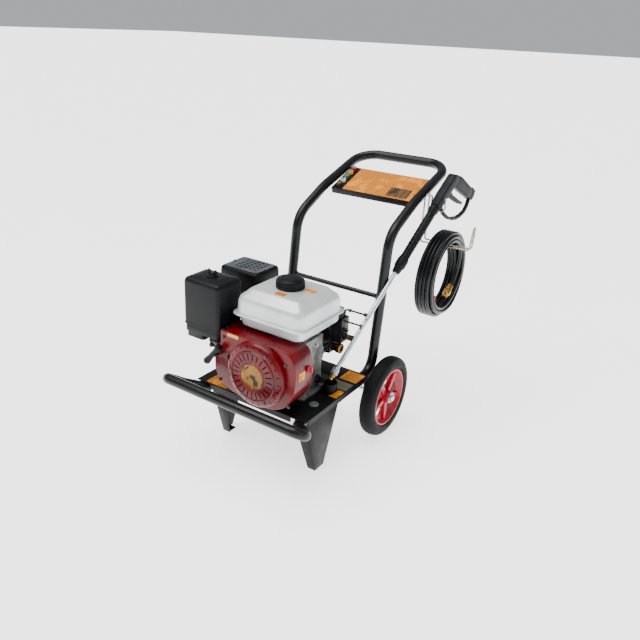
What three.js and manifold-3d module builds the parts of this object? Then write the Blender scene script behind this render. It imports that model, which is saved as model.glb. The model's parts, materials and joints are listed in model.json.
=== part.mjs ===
// Petrol pressure washer on a two-wheel frame: engine, pump, gun and lance, hose, nozzles.
// Millimetres, +Z up, +X to the right of someone facing its front, +Y towards its handle.
import * as THREE from 'three';
import Module from 'manifold-3d';
import { mergeVertices } from 'three/addons/utils/BufferGeometryUtils.js';

const wasm = await Module();
wasm.setup();

// Driving dimensions.
const GAP = 0.3;
const TUBE_R = 16;
const UPRIGHT_X = 170;
const WHEEL_R = 133;
const TYRE_WIDTH = 50;
const WHEEL_X = 229.6;
const RIM_R = 97;
const AXLE_R = 8;
const DECK_TOP = 224;
const DECK_THICK = 4;
const DECK_HALF = 200;
const DECK_REAR = -66;
const DECK_FRONT = -413;
const RAIL_FRONT = -400;
const BUMPER_Y = -508;
const BUMPER_Z = 255;
const BUMPER_HALF = 262;
const HANDLE_Y = 454;
const HANDLE_Z = 805;
const CROSS_BAR_R = 7.5;
const PANEL_TILT = 21.7;
const PANEL_LENGTH = 142;
const PANEL_MID = [0, 287.7, 741];
const NOZZLE_PITCH = 26;
const CRANK_X = 42;
const CRANK_Z = 330;
const RECOIL_FRONT = -455;
const RECOIL_R = 97;
const FAN_FRONT = -425;
const FAN_REAR = -338;
const PULLEY_R = 42;
const PULL_TILT = 9.8;
const CYLINDER_TILT = 25;
const TANK = { x0: -91, x1: 159, y0: -393, y1: -154, flange: 467, top: 540, bottom: 431 };
const SWITCH = [167.4, -362, 360];
const CAP_R = 42;
const CAP_AT = [34, -273];
const AIR = { x0: -240, x1: -101, y0: -426.5, y1: -318, top: 552, bottom: 363, split: 404 };
const GUARD = { x0: -248, x1: -101, y0: -256, y1: -135, top: 538, bottom: 428 };
const LANCE_TIP = [155, -223, 260];
const LANCE_HEAD = [240, 328, 796];
const LANCE_R = 7;
const GRIP_R = 14;
const ROD_R = 3;
const HANGER_Z = 577;
const COIL_R = 148;
const COIL_HOLE_R = 106;
const COIL_WIDTH = 63;
const COIL_X = 250;
const COIL_Y = 298;

const radians = (degrees) => (degrees * Math.PI) / 180;
const group = new THREE.Group();

function material(color, metalness, roughness) {
  return new THREE.MeshStandardMaterial({ color, metalness, roughness });
}

function put(name, geometry, color, metalness = 0.1, roughness = 0.5) {
  const mesh = new THREE.Mesh(geometry, material(color, metalness, roughness));
  mesh.name = name;
  group.add(mesh);
}

// Booleans.
function solid(geometry) {
  const plain = geometry.clone();
  plain.deleteAttribute('normal');
  plain.deleteAttribute('uv');
  const merged = mergeVertices(plain, 1e-3);
  const mesh = new wasm.Mesh({
    numProp: 3,
    vertProperties: new Float32Array(merged.attributes.position.array),
    triVerts: new Uint32Array(merged.index.array),
  });
  return new wasm.Manifold(mesh);
}

function geometryOf(manifold) {
  const mesh = manifold.getMesh();
  const geometry = new THREE.BufferGeometry();
  geometry.setAttribute('position', new THREE.BufferAttribute(new Float32Array(mesh.vertProperties), 3));
  geometry.setIndex(new THREE.BufferAttribute(new Uint32Array(mesh.triVerts), 1));
  return geometry;
}

const join = (...parts) => geometryOf(parts.map(solid).reduce((a, b) => a.add(b)));
const cut = (base, ...parts) => geometryOf(parts.map(solid).reduce((a, b) => a.subtract(b), solid(base)));

// A box given by its two corners.
function box(x0, x1, y0, y1, z0, z1) {
  const geometry = new THREE.BoxGeometry(x1 - x0, y1 - y0, z1 - z0);
  return geometry.translate((x0 + x1) / 2, (y0 + y1) / 2, (z0 + z1) / 2);
}

// Turns a shape built along +Z so that it points along a direction, and moves it to a point.
function aim(geometry, direction, at) {
  const turn = new THREE.Quaternion();
  turn.setFromUnitVectors(new THREE.Vector3(0, 0, 1), new THREE.Vector3(...direction).normalize());
  return geometry.applyQuaternion(turn).translate(...at);
}

// A round solid from a profile of [radius, height] pairs, turned to point along a direction.
function turned(profile, segments, direction = [0, 0, 1], at = [0, 0, 0]) {
  const points = profile.map(([r, h]) => new THREE.Vector2(r, h));
  const geometry = new THREE.LatheGeometry(points, segments);
  geometry.rotateX(Math.PI / 2);
  return aim(geometry, direction, at);
}

const rod = (r, length, segments, direction, at) =>
  turned([[0, 0], [r, 0], [r, length], [0, length]], segments, direction, at);

// A ring: outer radius, inner radius, from height 0 to its length.
const ring = (outer, inner, length, segments, direction, at) =>
  turned([[inner, 0], [outer, 0], [outer, length], [inner, length], [inner, 0]], segments, direction, at);

// A route that a tube follows: straight runs joined by round bends, one vertex to each step.
class Route extends THREE.Curve {
  constructor(vertices) {
    super();
    this.vertices = vertices;
  }
  getPointAt(u, target = new THREE.Vector3()) {
    return target.copy(this.vertices[Math.round(u * (this.vertices.length - 1))]);
  }
  getPoint(u, target) {
    return this.getPointAt(u, target);
  }
  getTangentAt(u, target = new THREE.Vector3()) {
    const last = this.vertices.length - 1;
    const i = Math.round(u * last);
    const before = this.vertices[Math.max(i - 1, 0)];
    const here = this.vertices[i];
    const after = this.vertices[Math.min(i + 1, last)];
    const one = here.clone().sub(before).normalize();
    const two = after.clone().sub(here).normalize();
    return target.copy(one.add(two).normalize());
  }
}

// Rounds the corners of a polyline: each corner is [x, y, z, bend radius].
function bend(corners, stepDegrees = 15) {
  const at = corners.map(([x, y, z]) => new THREE.Vector3(x, y, z));
  const out = [at[0].clone()];
  for (let i = 1; i < at.length - 1; i += 1) {
    const radius = corners[i][3] ?? 20;
    const into = at[i].clone().sub(at[i - 1]).normalize();
    const away = at[i + 1].clone().sub(at[i]).normalize();
    const turn = into.angleTo(away);
    const steps = Math.max(1, Math.ceil(THREE.MathUtils.radToDeg(turn) / stepDegrees));
    const start = at[i].clone().addScaledVector(into, -radius * Math.tan(turn / 2));
    const side = away.clone().addScaledVector(into, -away.dot(into)).normalize();
    const centre = start.clone().addScaledVector(side, radius);
    for (let k = 0; k <= steps; k += 1) {
      const angle = (turn * k) / steps;
      const point = centre.clone().addScaledVector(side, -radius * Math.cos(angle));
      out.push(point.addScaledVector(into, radius * Math.sin(angle)));
    }
  }
  out.push(at[at.length - 1].clone());
  return out;
}

// A solid tube of one radius along a route.
function tube(points, radius, sides = 12) {
  const shape = new THREE.Shape();
  for (let i = 0; i < sides; i += 1) {
    const angle = (2 * Math.PI * (i + 0.5)) / sides;
    const x = radius * Math.cos(angle);
    const y = radius * Math.sin(angle);
    if (i === 0) shape.moveTo(x, y);
    else shape.lineTo(x, y);
  }
  shape.closePath();
  const settings = { steps: points.length - 1, bevelEnabled: false, extrudePath: new Route(points) };
  return new THREE.ExtrudeGeometry(shape, settings);
}

// A rectangle with rounded corners.
function roundedRectangle(x0, x1, y0, y1, r) {
  const shape = new THREE.Shape();
  shape.moveTo(x0 + r, y0);
  shape.lineTo(x1 - r, y0);
  shape.absarc(x1 - r, y0 + r, r, -Math.PI / 2, 0);
  shape.lineTo(x1, y1 - r);
  shape.absarc(x1 - r, y1 - r, r, 0, Math.PI / 2);
  shape.lineTo(x0 + r, y1);
  shape.absarc(x0 + r, y1 - r, r, Math.PI / 2, Math.PI);
  shape.lineTo(x0, y0 + r);
  shape.absarc(x0 + r, y0 + r, r, Math.PI, 1.5 * Math.PI);
  return shape;
}

// A shape pulled up from z0 to z1, with its top edge (and bottom edge) eased by a bevel.
function raised(shape, z0, z1, bevel = 0, curveSegments = 4) {
  const settings = { depth: z1 - z0 - 2 * bevel, curveSegments, bevelEnabled: bevel > 0 };
  settings.bevelThickness = bevel;
  settings.bevelSize = bevel;
  settings.bevelOffset = -bevel;
  settings.bevelSegments = 2;
  return new THREE.ExtrudeGeometry(shape, settings).translate(0, 0, z0 + bevel);
}

// The same, for an outline drawn in X and Z and pulled from one Y to another.
function pulledAlongY(shape, y0, y1, bevel = 0, curveSegments = 6) {
  return raised(shape, -y1, -y0, bevel, curveSegments).rotateX(Math.PI / 2);
}

function outline(points) {
  const shape = new THREE.Shape();
  shape.moveTo(...points[0]);
  for (const point of points.slice(1)) shape.lineTo(...point);
  shape.closePath();
  return shape;
}

// An outline drawn in Y and Z, pulled from one X to another.
function pulledAlongX(points, x0, x1) {
  const geometry = new THREE.ExtrudeGeometry(outline(points), { depth: x1 - x0, bevelEnabled: false });
  return geometry.rotateX(Math.PI / 2).rotateZ(Math.PI / 2).translate(x0, 0, 0);
}

// The frame's upright side, from the rail's front end to the top bar.
const RAIL_Z = DECK_TOP - DECK_THICK - TUBE_R - GAP;
function sideOfFrame(side) {
  return [
    [side * UPRIGHT_X, RAIL_FRONT, RAIL_Z],
    [side * UPRIGHT_X, 8, RAIL_Z, 55],
    [side * UPRIGHT_X, 50, 648, 90],
    [side * UPRIGHT_X, 200, 722, 300],
    [side * UPRIGHT_X, HANDLE_Y, HANDLE_Z, 75],
  ];
}

function mainFrame() {
  const left = sideOfFrame(-1);
  const right = sideOfFrame(1).reverse();
  const route = bend([...left, ...right], 18);
  const loop = cut(tube(route, TUBE_R), tube(route, TUBE_R - 2.5, 6));
  const plate = (x) => pulledAlongX([[-34, RAIL_Z - 2], [-16, 112], [16, 112], [30, RAIL_Z - 2]], x - 2.5, x + 2.5);
  const hole = rod(AXLE_R + 0.5, 400, 16, [1, 0, 0], [-200, 0, WHEEL_R]);
  const bracket = (side) => cut(plate(side * (UPRIGHT_X - 2)), hole);
  put('main_frame', join(loop, bracket(-1), bracket(1)), 0x111113, 0.3, 0.3);
}

function bumperBar() {
  const half = (side) => [
    [side * UPRIGHT_X, RAIL_FRONT - GAP, RAIL_Z],
    [side * UPRIGHT_X, -410, RAIL_Z, 18],
    [side * 224, -450, 217, 26],
    [side * BUMPER_HALF, BUMPER_Y, BUMPER_Z, 28],
  ];
  const route = bend([...half(-1), ...half(1).reverse()], 15);
  put('bumper_bar', cut(tube(route, TUBE_R - 0.5), tube(route, TUBE_R - 3, 6)), 0x111113, 0.3, 0.3);
}

function crossBar() {
  const reach = UPRIGHT_X - TUBE_R - GAP;
  put('cross_bar', rod(CROSS_BAR_R, 2 * reach, 12, [1, 0, 0], [-reach, 33.5, 450]), 0x111113, 0.3, 0.3);
}

function deckPlate() {
  const z = DECK_TOP;
  const tray = cut(
    box(-DECK_HALF, DECK_HALF, DECK_FRONT, DECK_REAR, z - 18, z),
    box(-DECK_HALF + 3, DECK_HALF - 3, DECK_FRONT + 3, DECK_REAR + 9, z - 30, z - DECK_THICK),
    box(-DECK_HALF - 5, DECK_HALF + 5, -143, -139, z - 0.8, z + 5),
  );
  const notch = (side) => box(side * 177 - 29, side * 177 + 29, -440, -400, z - 30, z - DECK_THICK + 1.2);
  put('deck_plate', cut(tray, notch(-1), notch(1)), 0x16161a, 0.2, 0.4);
}

// A folded sheet-metal leg: a tapered side plate and a front flange turned inward.
function leg(side) {
  const top = RAIL_Z - TUBE_R - GAP;
  const plate = pulledAlongX([[-372, top], [-318, 0], [-272, 0], [-205, top]], 177, 180);
  const flange = new THREE.BufferGeometry();
  const front = pulledAlongX([[-372, top], [-318, 0], [-315, 0], [-369, top]], 138, 180);
  const slope = outline([[180, -1], [153, -1], [132, top + 1], [180, top + 1]]);
  const taper = pulledAlongY(slope, -400, -250);
  const flangeFront = geometryOf(solid(front).intersect(solid(taper)));
  flange.dispose();
  const foot = box(155, 180, -318, -286, 0, 4);
  const cap = box(150, 180, -368, -210, top - 4, top);
  const whole = solid(join(plate, flangeFront, foot, cap));
  const placed = side > 0 ? whole : whole.mirror([1, 0, 0]);
  put(side > 0 ? 'leg_right' : 'leg_left', geometryOf(placed), 0x121214, 0.3, 0.35);
}

// Wheels.
function wheel(side) {
  const name = side > 0 ? 'right' : 'left';
  const out = [side, 0, 0];
  const at = [side * (WHEEL_X - TYRE_WIDTH / 2), 0, WHEEL_R];
  const w = TYRE_WIDTH;
  const R = WHEEL_R;
  const tyreProfile = [
    [RIM_R, 4], [RIM_R + 12, 0], [R - 12, 3], [R - 2.5, 11], [R, w / 2 - 2], [R - 1.5, w / 2],
    [R, w / 2 + 2], [R - 2.5, w - 11], [R - 12, w - 3], [RIM_R + 12, w], [RIM_R, w - 4], [RIM_R, 4],
  ];
  put(`tyre_${name}`, turned(tyreProfile, 28, out, at), 0x151516, 0, 0.8);
  const bore = AXLE_R + 0.35;
  const r = RIM_R - GAP;
  const rimProfile = [
    [bore, -1], [20, -1], [20, 20], [r - 12, 20], [r - 10, 6], [r, 6], [r, w - 6], [r - 8, w - 6],
    [r - 12, 26], [22, 28], [18, w - 2], [bore, w - 2], [bore, -1],
  ];
  const spokes = [];
  for (let i = 0; i < 5; i += 1) {
    const turn = radians(72 * i + 36);
    const spoke = box(-9, 9, 16, r - 9, 24, 37);
    spokes.push(spoke.rotateZ(turn));
  }
  const windows = [];
  for (let i = 0; i < 5; i += 1) {
    const window = raised(roundedRectangle(-15, 15, 40, 72, 10), 10, 40, 0, 2);
    windows.push(window.rotateZ(radians(72 * i)));
  }
  const raw = turned(rimProfile, 28);
  const body = geometryOf([...windows].reduce((a, b) => a.subtract(solid(b)), solid(join(raw, ...spokes))));
  const bored = cut(body, rod(bore, 80, 16, [0, 0, 1], [0, 0, -10]));
  put(`rim_${name}`, aim(bored, out, at), 0xa50d20, 0.1, 0.35);
  const nutAt = [side * (WHEEL_X + w / 2 - 2 + GAP), 0, WHEEL_R];
  const nut = [[0, 7], [9.6, 7], [9.6, 0], [17, 0], [17, 2], [13, 2], [13, 9], [8, 12], [0, 12]];
  put(`hub_nut_${name}`, turned(nut, 12, out, nutAt), 0xc9ccd0, 0.9, 0.25);
}

function axle() {
  const reach = WHEEL_X + TYRE_WIDTH / 2 + 4;
  put('axle', rod(AXLE_R, 2 * reach, 16, [1, 0, 0], [-reach, 0, WHEEL_R]), 0xb9bcc0, 0.9, 0.3);
}

// The label panel under the handle, with five nozzles in holes along its left side.
const tiltUp = radians(PANEL_TILT);
const panelNormal = [0, -Math.sin(tiltUp), Math.cos(tiltUp)];
function onPanel(x, along, above) {
  return [
    PANEL_MID[0] + x,
    PANEL_MID[1] + along * Math.cos(tiltUp) - above * Math.sin(tiltUp),
    PANEL_MID[2] + along * Math.sin(tiltUp) + above * Math.cos(tiltUp),
  ];
}

function controlPanel() {
  const half = UPRIGHT_X - TUBE_R - GAP;
  const sheet = box(-half, half, -PANEL_LENGTH / 2, PANEL_LENGTH / 2, -1.5, 1.5);
  const lip = box(-half, half, -PANEL_LENGTH / 2, -PANEL_LENGTH / 2 + 3, -20, 0);
  const back = box(-half, half, PANEL_LENGTH / 2 - 3, PANEL_LENGTH / 2, -14, 0);
  const holes = [];
  for (let i = -2; i <= 2; i += 1) {
    holes.push(rod(6.6, 20, 12, [0, 0, 1], [-132, i * NOZZLE_PITCH, -10]));
  }
  const flat = cut(join(sheet, lip, back), ...holes);
  const placed = flat.rotateX(tiltUp).translate(...PANEL_MID);
  put('control_panel', placed, 0xe39c3c, 0.05, 0.4);
}

const NOZZLES = [
  ['nozzle_soap', 0x18181a],
  ['nozzle_40_degree', 0xe8ebe8],
  ['nozzle_25_degree', 0x2f8f4e],
  ['nozzle_15_degree', 0xe8b52a],
  ['nozzle_0_degree', 0xb5202a],
];
function nozzles() {
  NOZZLES.forEach(([name, color], i) => {
    const at = onPanel(-132, (i - 2) * NOZZLE_PITCH, 0);
    const profile = [[0, -22], [4.5, -22], [6, -19], [6, 1.8], [10, 1.8], [10, 13], [7, 16], [0, 16]];
    put(name, turned(profile, 12, panelNormal, at), color, 0.1, 0.45);
  });
}

// The wire hook that carries the coiled hose.
const underTube = (y) => 722 + ((y - 200) * 83) / 254 - TUBE_R / Math.cos(radians(18.1)) - 0.8;
function hoseHanger() {
  const x = UPRIGHT_X + 1;
  const y0 = COIL_Y - 17;
  const y1 = COIL_Y + 17;
  const corners = [
    [x, y0, underTube(y0)],
    [x, y0, HANGER_Z, 9],
    [338, y0 + 12, HANGER_Z, 9],
    [343, y0 + 14, HANGER_Z + 74, 9],
    [343, y1 - 2, HANGER_Z + 74, 9],
    [338, y1, HANGER_Z, 9],
    [x, y1, HANGER_Z, 9],
    [x, y1, underTube(y1)],
  ];
  put('hose_hanger', tube(bend(corners, 30), ROD_R, 8), 0xb8babd, 0.9, 0.3);
}

const COIL_Z = HANGER_Z + ROD_R + 2.4 - COIL_HOLE_R;
function hoseCoil() {
  const w = COIL_WIDTH / 2;
  const [r0, r1] = [COIL_HOLE_R, COIL_R];
  const profile = [
    [r0, -w + 7], [r0 + 5, -w], [r1 - 7, -w], [r1, -w + 7],
    [r1, w - 7], [r1 - 7, w], [r0 + 5, w], [r0, w - 7], [r0, -w + 7],
  ];
  put('hose_coil', turned(profile, 36, [1, 0, 0], [COIL_X, COIL_Y, COIL_Z]), 0x101012, 0, 0.5);
}

// Couplings at the two hose ends, lying inside the coil and beside it.
function hoseCouplings() {
  const profile = [[0, 0], [10, 0], [10, 22], [12.5, 24], [12.5, 44], [8, 46], [8, 56], [0, 56]];
  const tangent = (angle) => [0, Math.cos(radians(angle)), Math.sin(radians(angle))];
  const inside = (angle, axial) => {
    const a = radians(angle);
    const r = COIL_HOLE_R - 14.6;
    const [, ty, tz] = tangent(angle);
    return [COIL_X + axial, COIL_Y + r * Math.sin(a) - 28 * ty, COIL_Z - r * Math.cos(a) - 28 * tz];
  };
  put('hose_coupling_gun', turned(profile, 12, tangent(-14), inside(-14, -12)), 0xa3121f, 0.1, 0.4);
  put('hose_coupling_pump', turned(profile, 12, tangent(34), inside(34, 14)), 0xb08a3c, 0.85, 0.3);
}

// The gun and its lance: a straight axis from the tip up to the gun's rear end.
const head = new THREE.Vector3(...LANCE_HEAD);
const tip = new THREE.Vector3(...LANCE_TIP);
const toTip = tip.clone().sub(head).normalize();
const lanceLength = tip.distanceTo(head);
const gunSide = new THREE.Vector3(0, 0, 1).cross(toTip).normalize();
const gunDown = toTip.clone().cross(gunSide).normalize();
if (gunDown.z > 0) gunDown.negate();
// A point in the gun's own plane: along the barrel towards the tip, down, and sideways.
function atGun(along, down, side = 0) {
  const point = head.clone().addScaledVector(toTip, along);
  return point.addScaledVector(gunDown, down).addScaledVector(gunSide, side);
}
const gunFrame = new THREE.Matrix4();
gunFrame.makeBasis(toTip, gunDown, toTip.clone().cross(gunDown).normalize()).setPosition(head);

// An outline in the gun's own plane, given a thickness and set on the gun.
function gunPlate(points, thickness, bevel = 0) {
  const flat = raised(outline(points), -thickness / 2, thickness / 2, bevel, 4);
  return flat.applyMatrix4(gunFrame);
}

const along = (from, to, r, segments = 12) => {
  const start = atGun(from, 0);
  return rod(r, to - from, segments, toTip.toArray(), start.toArray());
};

function gunBody() {
  const housing = gunPlate([[-3, -14], [88, -17], [124, -13], [124, 14], [60, 17], [24, 17], [-2, 20], [-12, 2]], 31, 4);
  const grip = gunPlate([[-10, 2], [24, 12], [6, 70], [-16, 130], [-50, 120], [-34, 60]], 28, 5);
  const foot = gunPlate([[-13, 122], [-22, 150], [-56, 139], [-50, 112]], 25, 2);
  const loop = gunPlate([
    [96, 8], [113, 34], [104, 90], [72, 138], [22, 164], [-24, 150],
    [-19, 140], [21, 152], [64, 129], [94, 86], [102, 37], [84, 10],
  ], 12, 2);
  put('gun_body', join(housing, grip, foot, loop), 0x151618, 0.1, 0.5);
}

function gunTrigger() {
  const blade = [[43, 19.4], [53, 19.4], [57, 25], [54, 42], [40, 82], [22, 117], [13, 114], [28, 76], [39, 40], [39, 25]];
  const at = gunPlate(blade, 13, 1.5);
  put('gun_trigger', at, 0x1b1c1e, 0.1, 0.45);
}

function lance() {
  put('lance_grip', turned([[0, 0], [17, 0], [17, 14], [GRIP_R, 22], [GRIP_R - 1, 190], [17.5, 208],
    [17.5, 232], [12, 256], [0, 256]], 14, toTip.toArray(), atGun(124.4, 0).toArray()), 0x131416, 0.05, 0.6);
  const from = 124.4 + 256 + GAP;
  const end = lanceLength - 20;
  put('lance_tube', along(from, end, LANCE_R, 14), 0xc4c8cc, 0.9, 0.2);
  const brass = 0xb98f42;
  const bore = LANCE_R + 0.4;
  put('lance_coupler', turned([[bore, 0], [9, 0], [9, 6], [11.5, 7], [11.5, 22], [bore, 22], [bore, 0]], 14,
    toTip.toArray(), atGun(end - 22 - GAP, 0).toArray()), brass, 0.9, 0.3);
  put('lance_nozzle', turned([[0, 0], [8, 0], [8, 9], [5, 12], [5, 18], [0, 18]], 12,
    toTip.toArray(), atGun(end + GAP, 0).toArray()), brass, 0.9, 0.3);
}

// The wire cradle on the right-hand tube that the gun's barrel lies in.
function gunHook() {
  const spot = atGun(100, 0);
  const reach = 17 + ROD_R + 1.2;
  const y = spot.y;
  const zTube = 722 + ((y - 200) * 83) / 254;
  const x0 = UPRIGHT_X + TUBE_R + 0.4;
  const near = spot.x - reach - 2;
  const far = spot.x + reach + 2;
  const low = spot.z - 30;
  const corners = [[x0, y, zTube], [near, y, zTube, 6], [near, y, low, 12], [far, y, low, 12], [far, y, spot.z + 14]];
  put('gun_hook', tube(bend(corners, 30), ROD_R, 8), 0xb8babd, 0.9, 0.3);
}

// A small cup on the deck that the lance's tip stands in.
function lanceRest() {
  const end = atGun(lanceLength, 0);
  const base = box(end.x - 20, end.x + 20, end.y - 20, end.y + 20, DECK_TOP + GAP, DECK_TOP + 5);
  const post = ring(21.5, 19, 24, 16, [0, 0, 1], [end.x, end.y + 3, DECK_TOP + 4]);
  const open = rod(16, 60, 14, toTip.clone().negate().toArray(), atGun(lanceLength + 2, 0).toArray());
  put('lance_rest', geometryOf(solid(join(base, post)).subtract(solid(open))), 0x8d8f92, 0.7, 0.4);
}

// Engine: drawn seen from the front, the crankshaft runs along Y.
function inCylinder(geometry) {
  return geometry.rotateY(radians(CYLINDER_TILT)).translate(CRANK_X, 0, CRANK_Z);
}

function engineBlock() {
  const feet = box(CRANK_X - 90, CRANK_X + 90, -328, -212, DECK_TOP + GAP, DECK_TOP + 12);
  const cradle = box(CRANK_X - 72, CRANK_X + 72, -332, -210, DECK_TOP + 8, CRANK_Z + 66);
  const cheek = rod(72, 12, 24, [0, 1, 0], [CRANK_X, -212, CRANK_Z]);
  const post = (x, y) => box(x - 8, x + 8, y - 8, y + 8, CRANK_Z + 60, TANK.bottom - GAP);
  const barrel = inCylinder(box(-150, -40, -322, -238, -38, 38));
  const fins = [];
  for (let i = 0; i < 6; i += 1) {
    const x = -84 - 12 * i;
    fins.push(inCylinder(box(x - 4, x, -331, -229, -45, 45)));
  }
  const bore = rod(11, 200, 16, [0, 1, 0], [CRANK_X, -350, CRANK_Z]);
  const whole = join(feet, cradle, cheek, barrel, ...fins, post(CRANK_X + 55, -320), post(CRANK_X + 55, -225),
    post(CRANK_X - 40, -225), post(CRANK_X - 40, -320));
  put('engine_block', cut(whole, bore), 0x8e9092, 0.8, 0.4);
}

function rockerCover() {
  const y0 = -314;
  const y1 = -259;
  const cover = inCylinder(box(-176, -150 - GAP, y0, y1, -36, 36));
  put('rocker_cover', cover, 0x17181a, 0.2, 0.4);
}

const shroudOutline = () => {
  const shape = new THREE.Shape();
  shape.moveTo(-97, 424);
  shape.lineTo(-97, 378);
  shape.lineTo(-112, 376);
  shape.lineTo(-119, 369);
  shape.lineTo(-119, 300);
  shape.quadraticCurveTo(-112, 226, 54, 226);
  shape.quadraticCurveTo(168, 226, 167, 350);
  shape.quadraticCurveTo(167, 424, 118, 424);
  shape.closePath();
  return shape;
};

function fanCover() {
  const shell = pulledAlongY(shroudOutline(), FAN_FRONT, FAN_REAR, 8);
  const hollow = pulledAlongY(shroudOutline(), FAN_FRONT, FAN_REAR, 8);
  hollow.translate(-CRANK_X, 0, -CRANK_Z).scale(0.955, 1, 0.955).translate(CRANK_X, 3, CRANK_Z);
  const opened = pulledAlongY(shroudOutline(), FAN_REAR - 14, FAN_REAR + 12);
  opened.translate(-CRANK_X, 0, -CRANK_Z).scale(0.955, 1, 0.955).translate(CRANK_X, 0, CRANK_Z);
  const mouth = rod(80, 40, 32, [0, 1, 0], [CRANK_X, FAN_FRONT - 20, CRANK_Z]);
  put('fan_cover', cut(shell, hollow, opened, mouth), 0xa01420, 0.2, 0.3);
}

const pull = [-Math.cos(radians(PULL_TILT)), 0, -Math.sin(radians(PULL_TILT))];
const pullStart = [
  CRANK_X - PULLEY_R * Math.sin(radians(PULL_TILT)),
  -440,
  CRANK_Z + PULLEY_R * Math.cos(radians(PULL_TILT)),
];
const alongPull = (distance) => pullStart.map((value, i) => value + pull[i] * distance);

function recoilCover() {
  const outer = [[0, 0], [34, 0], [38, 2], [74, 3], [RECOIL_R - 6, 9], [RECOIL_R, 16], [RECOIL_R, 29.7], [0, 29.7]];
  const inner = [[0, 5], [70, 6], [RECOIL_R - 5, 15], [RECOIL_R - 5, 40], [0, 40]];
  const at = [CRANK_X, RECOIL_FRONT, CRANK_Z];
  const post = rod(6, 26, 12, [0, 1, 0], [CRANK_X, RECOIL_FRONT + 3, CRANK_Z]);
  const shell = cut(turned(outer, 40, [0, 1, 0], at), turned(inner, 32, [0, 1, 0], at));
  const slots = [];
  for (let i = 0; i < 18; i += 1) {
    const slot = box(-2.6, 2.6, RECOIL_FRONT - 5, RECOIL_FRONT + 12, 44, 70);
    slots.push(slot.rotateY(radians(20 * i + 10)).translate(CRANK_X, 0, CRANK_Z));
  }
  const eye = rod(5, 44, 12, pull, alongPull(66));
  put('recoil_cover', join(cut(shell, ...slots, eye), post), 0xa01420, 0.2, 0.3);
}

function recoilPulley() {
  const at = [CRANK_X, -446, CRANK_Z];
  const r = PULLEY_R;
  const profile = [[6.6, 0], [r + 5, 0], [r + 5, 3], [r - 2.2, 4], [r - 2.2, 8], [r + 5, 9], [r + 5, 12], [6.6, 12], [6.6, 0]];
  put('recoil_pulley', turned(profile, 24, [0, 1, 0], at), 0x2b2c2e, 0, 0.6);
}

function starter() {
  put('starter_rope', rod(2, 129, 8, pull, alongPull(0)), 0xd9d6cc, 0, 0.8);
  const middle = alongPull(149);
  const bar = 43;
  const lean = [-0.63, 0, -0.776];
  const start = [middle[0] - lean[0] * bar, middle[1], middle[2] - lean[2] * bar];
  const profile = [[0, 0], [8, 0], [11, 5], [9, bar - 12], [9, bar + 12], [11, 2 * bar - 5], [8, 2 * bar], [0, 2 * bar]];
  const socket = rod(7, 16, 12, pull, alongPull(129.3));
  put('starter_grip', join(turned(profile, 12, lean, start), socket), 0x151517, 0, 0.6);
}

function flywheel() {
  const disc = turned([[10.5, 0], [26, 0], [26, 10], [70, 12], [74, 14], [74, 28], [10.5, 28], [10.5, 0]], 28, [0, 1, 0],
    [CRANK_X, -382, CRANK_Z]);
  const blades = [];
  for (let i = 0; i < 10; i += 1) {
    const blade = box(-1.5, 1.5, -398, -364, 50, 73);
    blades.push(blade.rotateY(radians(36 * i)).translate(CRANK_X, 0, CRANK_Z));
  }
  put('flywheel', join(disc, ...blades), 0x9a9c9e, 0.8, 0.4);
}

function crankshaft() {
  const profile = [[0, 0], [8, 0], [10, 2], [10, 205], [0, 205]];
  put('crankshaft', turned(profile, 16, [0, 1, 0], [CRANK_X, -388, CRANK_Z]), 0xb4b7ba, 0.9, 0.3);
}

// The fuel tank: two pressed halves joined at a flange, a filler neck and its cap.
function fuelTank() {
  const t = TANK;
  const lower = raised(roundedRectangle(t.x0 + 24, t.x1 - 12, t.y0 + 12, t.y1 - 12, 26), t.bottom, t.flange + 4, 6, 3);
  const flange = raised(roundedRectangle(t.x0, t.x1, t.y0, t.y1, 30), t.flange - 1.5, t.flange + 1.5);
  const upper = raised(roundedRectangle(t.x0 + 8, t.x1 - 8, t.y0 + 8, t.y1 - 8, 30), t.flange - 6, t.top - 14, 10, 3);
  const crown = raised(roundedRectangle(t.x0 + 30, t.x1 - 30, t.y0 + 30, t.y1 - 30, 22), t.top - 26, t.top, 10, 3);
  const neck = rod(28, t.top + 12 - t.bottom - 20, 24, [0, 0, 1], [...CAP_AT, t.bottom + 20]);
  const inside = box(t.x0 + 20, t.x1 - 20, t.y0 + 20, t.y1 - 20, t.bottom + 3, t.top - 24);
  const mouth = rod(23, 90, 20, [0, 0, 1], [...CAP_AT, t.top - 30]);
  put('fuel_tank', cut(join(lower, flange, upper, crown, neck), inside, mouth), 0xdfe4e2, 0.1, 0.25);
}

function fuelCap() {
  const z = TANK.top + 1;
  const profile = [[29, 0], [CAP_R, 0], [CAP_R, 19], [35, 27], [0, 30], [0, 12], [29, 12], [29, 0]];
  put('fuel_cap', turned(profile, 28, [0, 0, 1], [...CAP_AT, z]), 0x1a1b1d, 0, 0.55);
}

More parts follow.
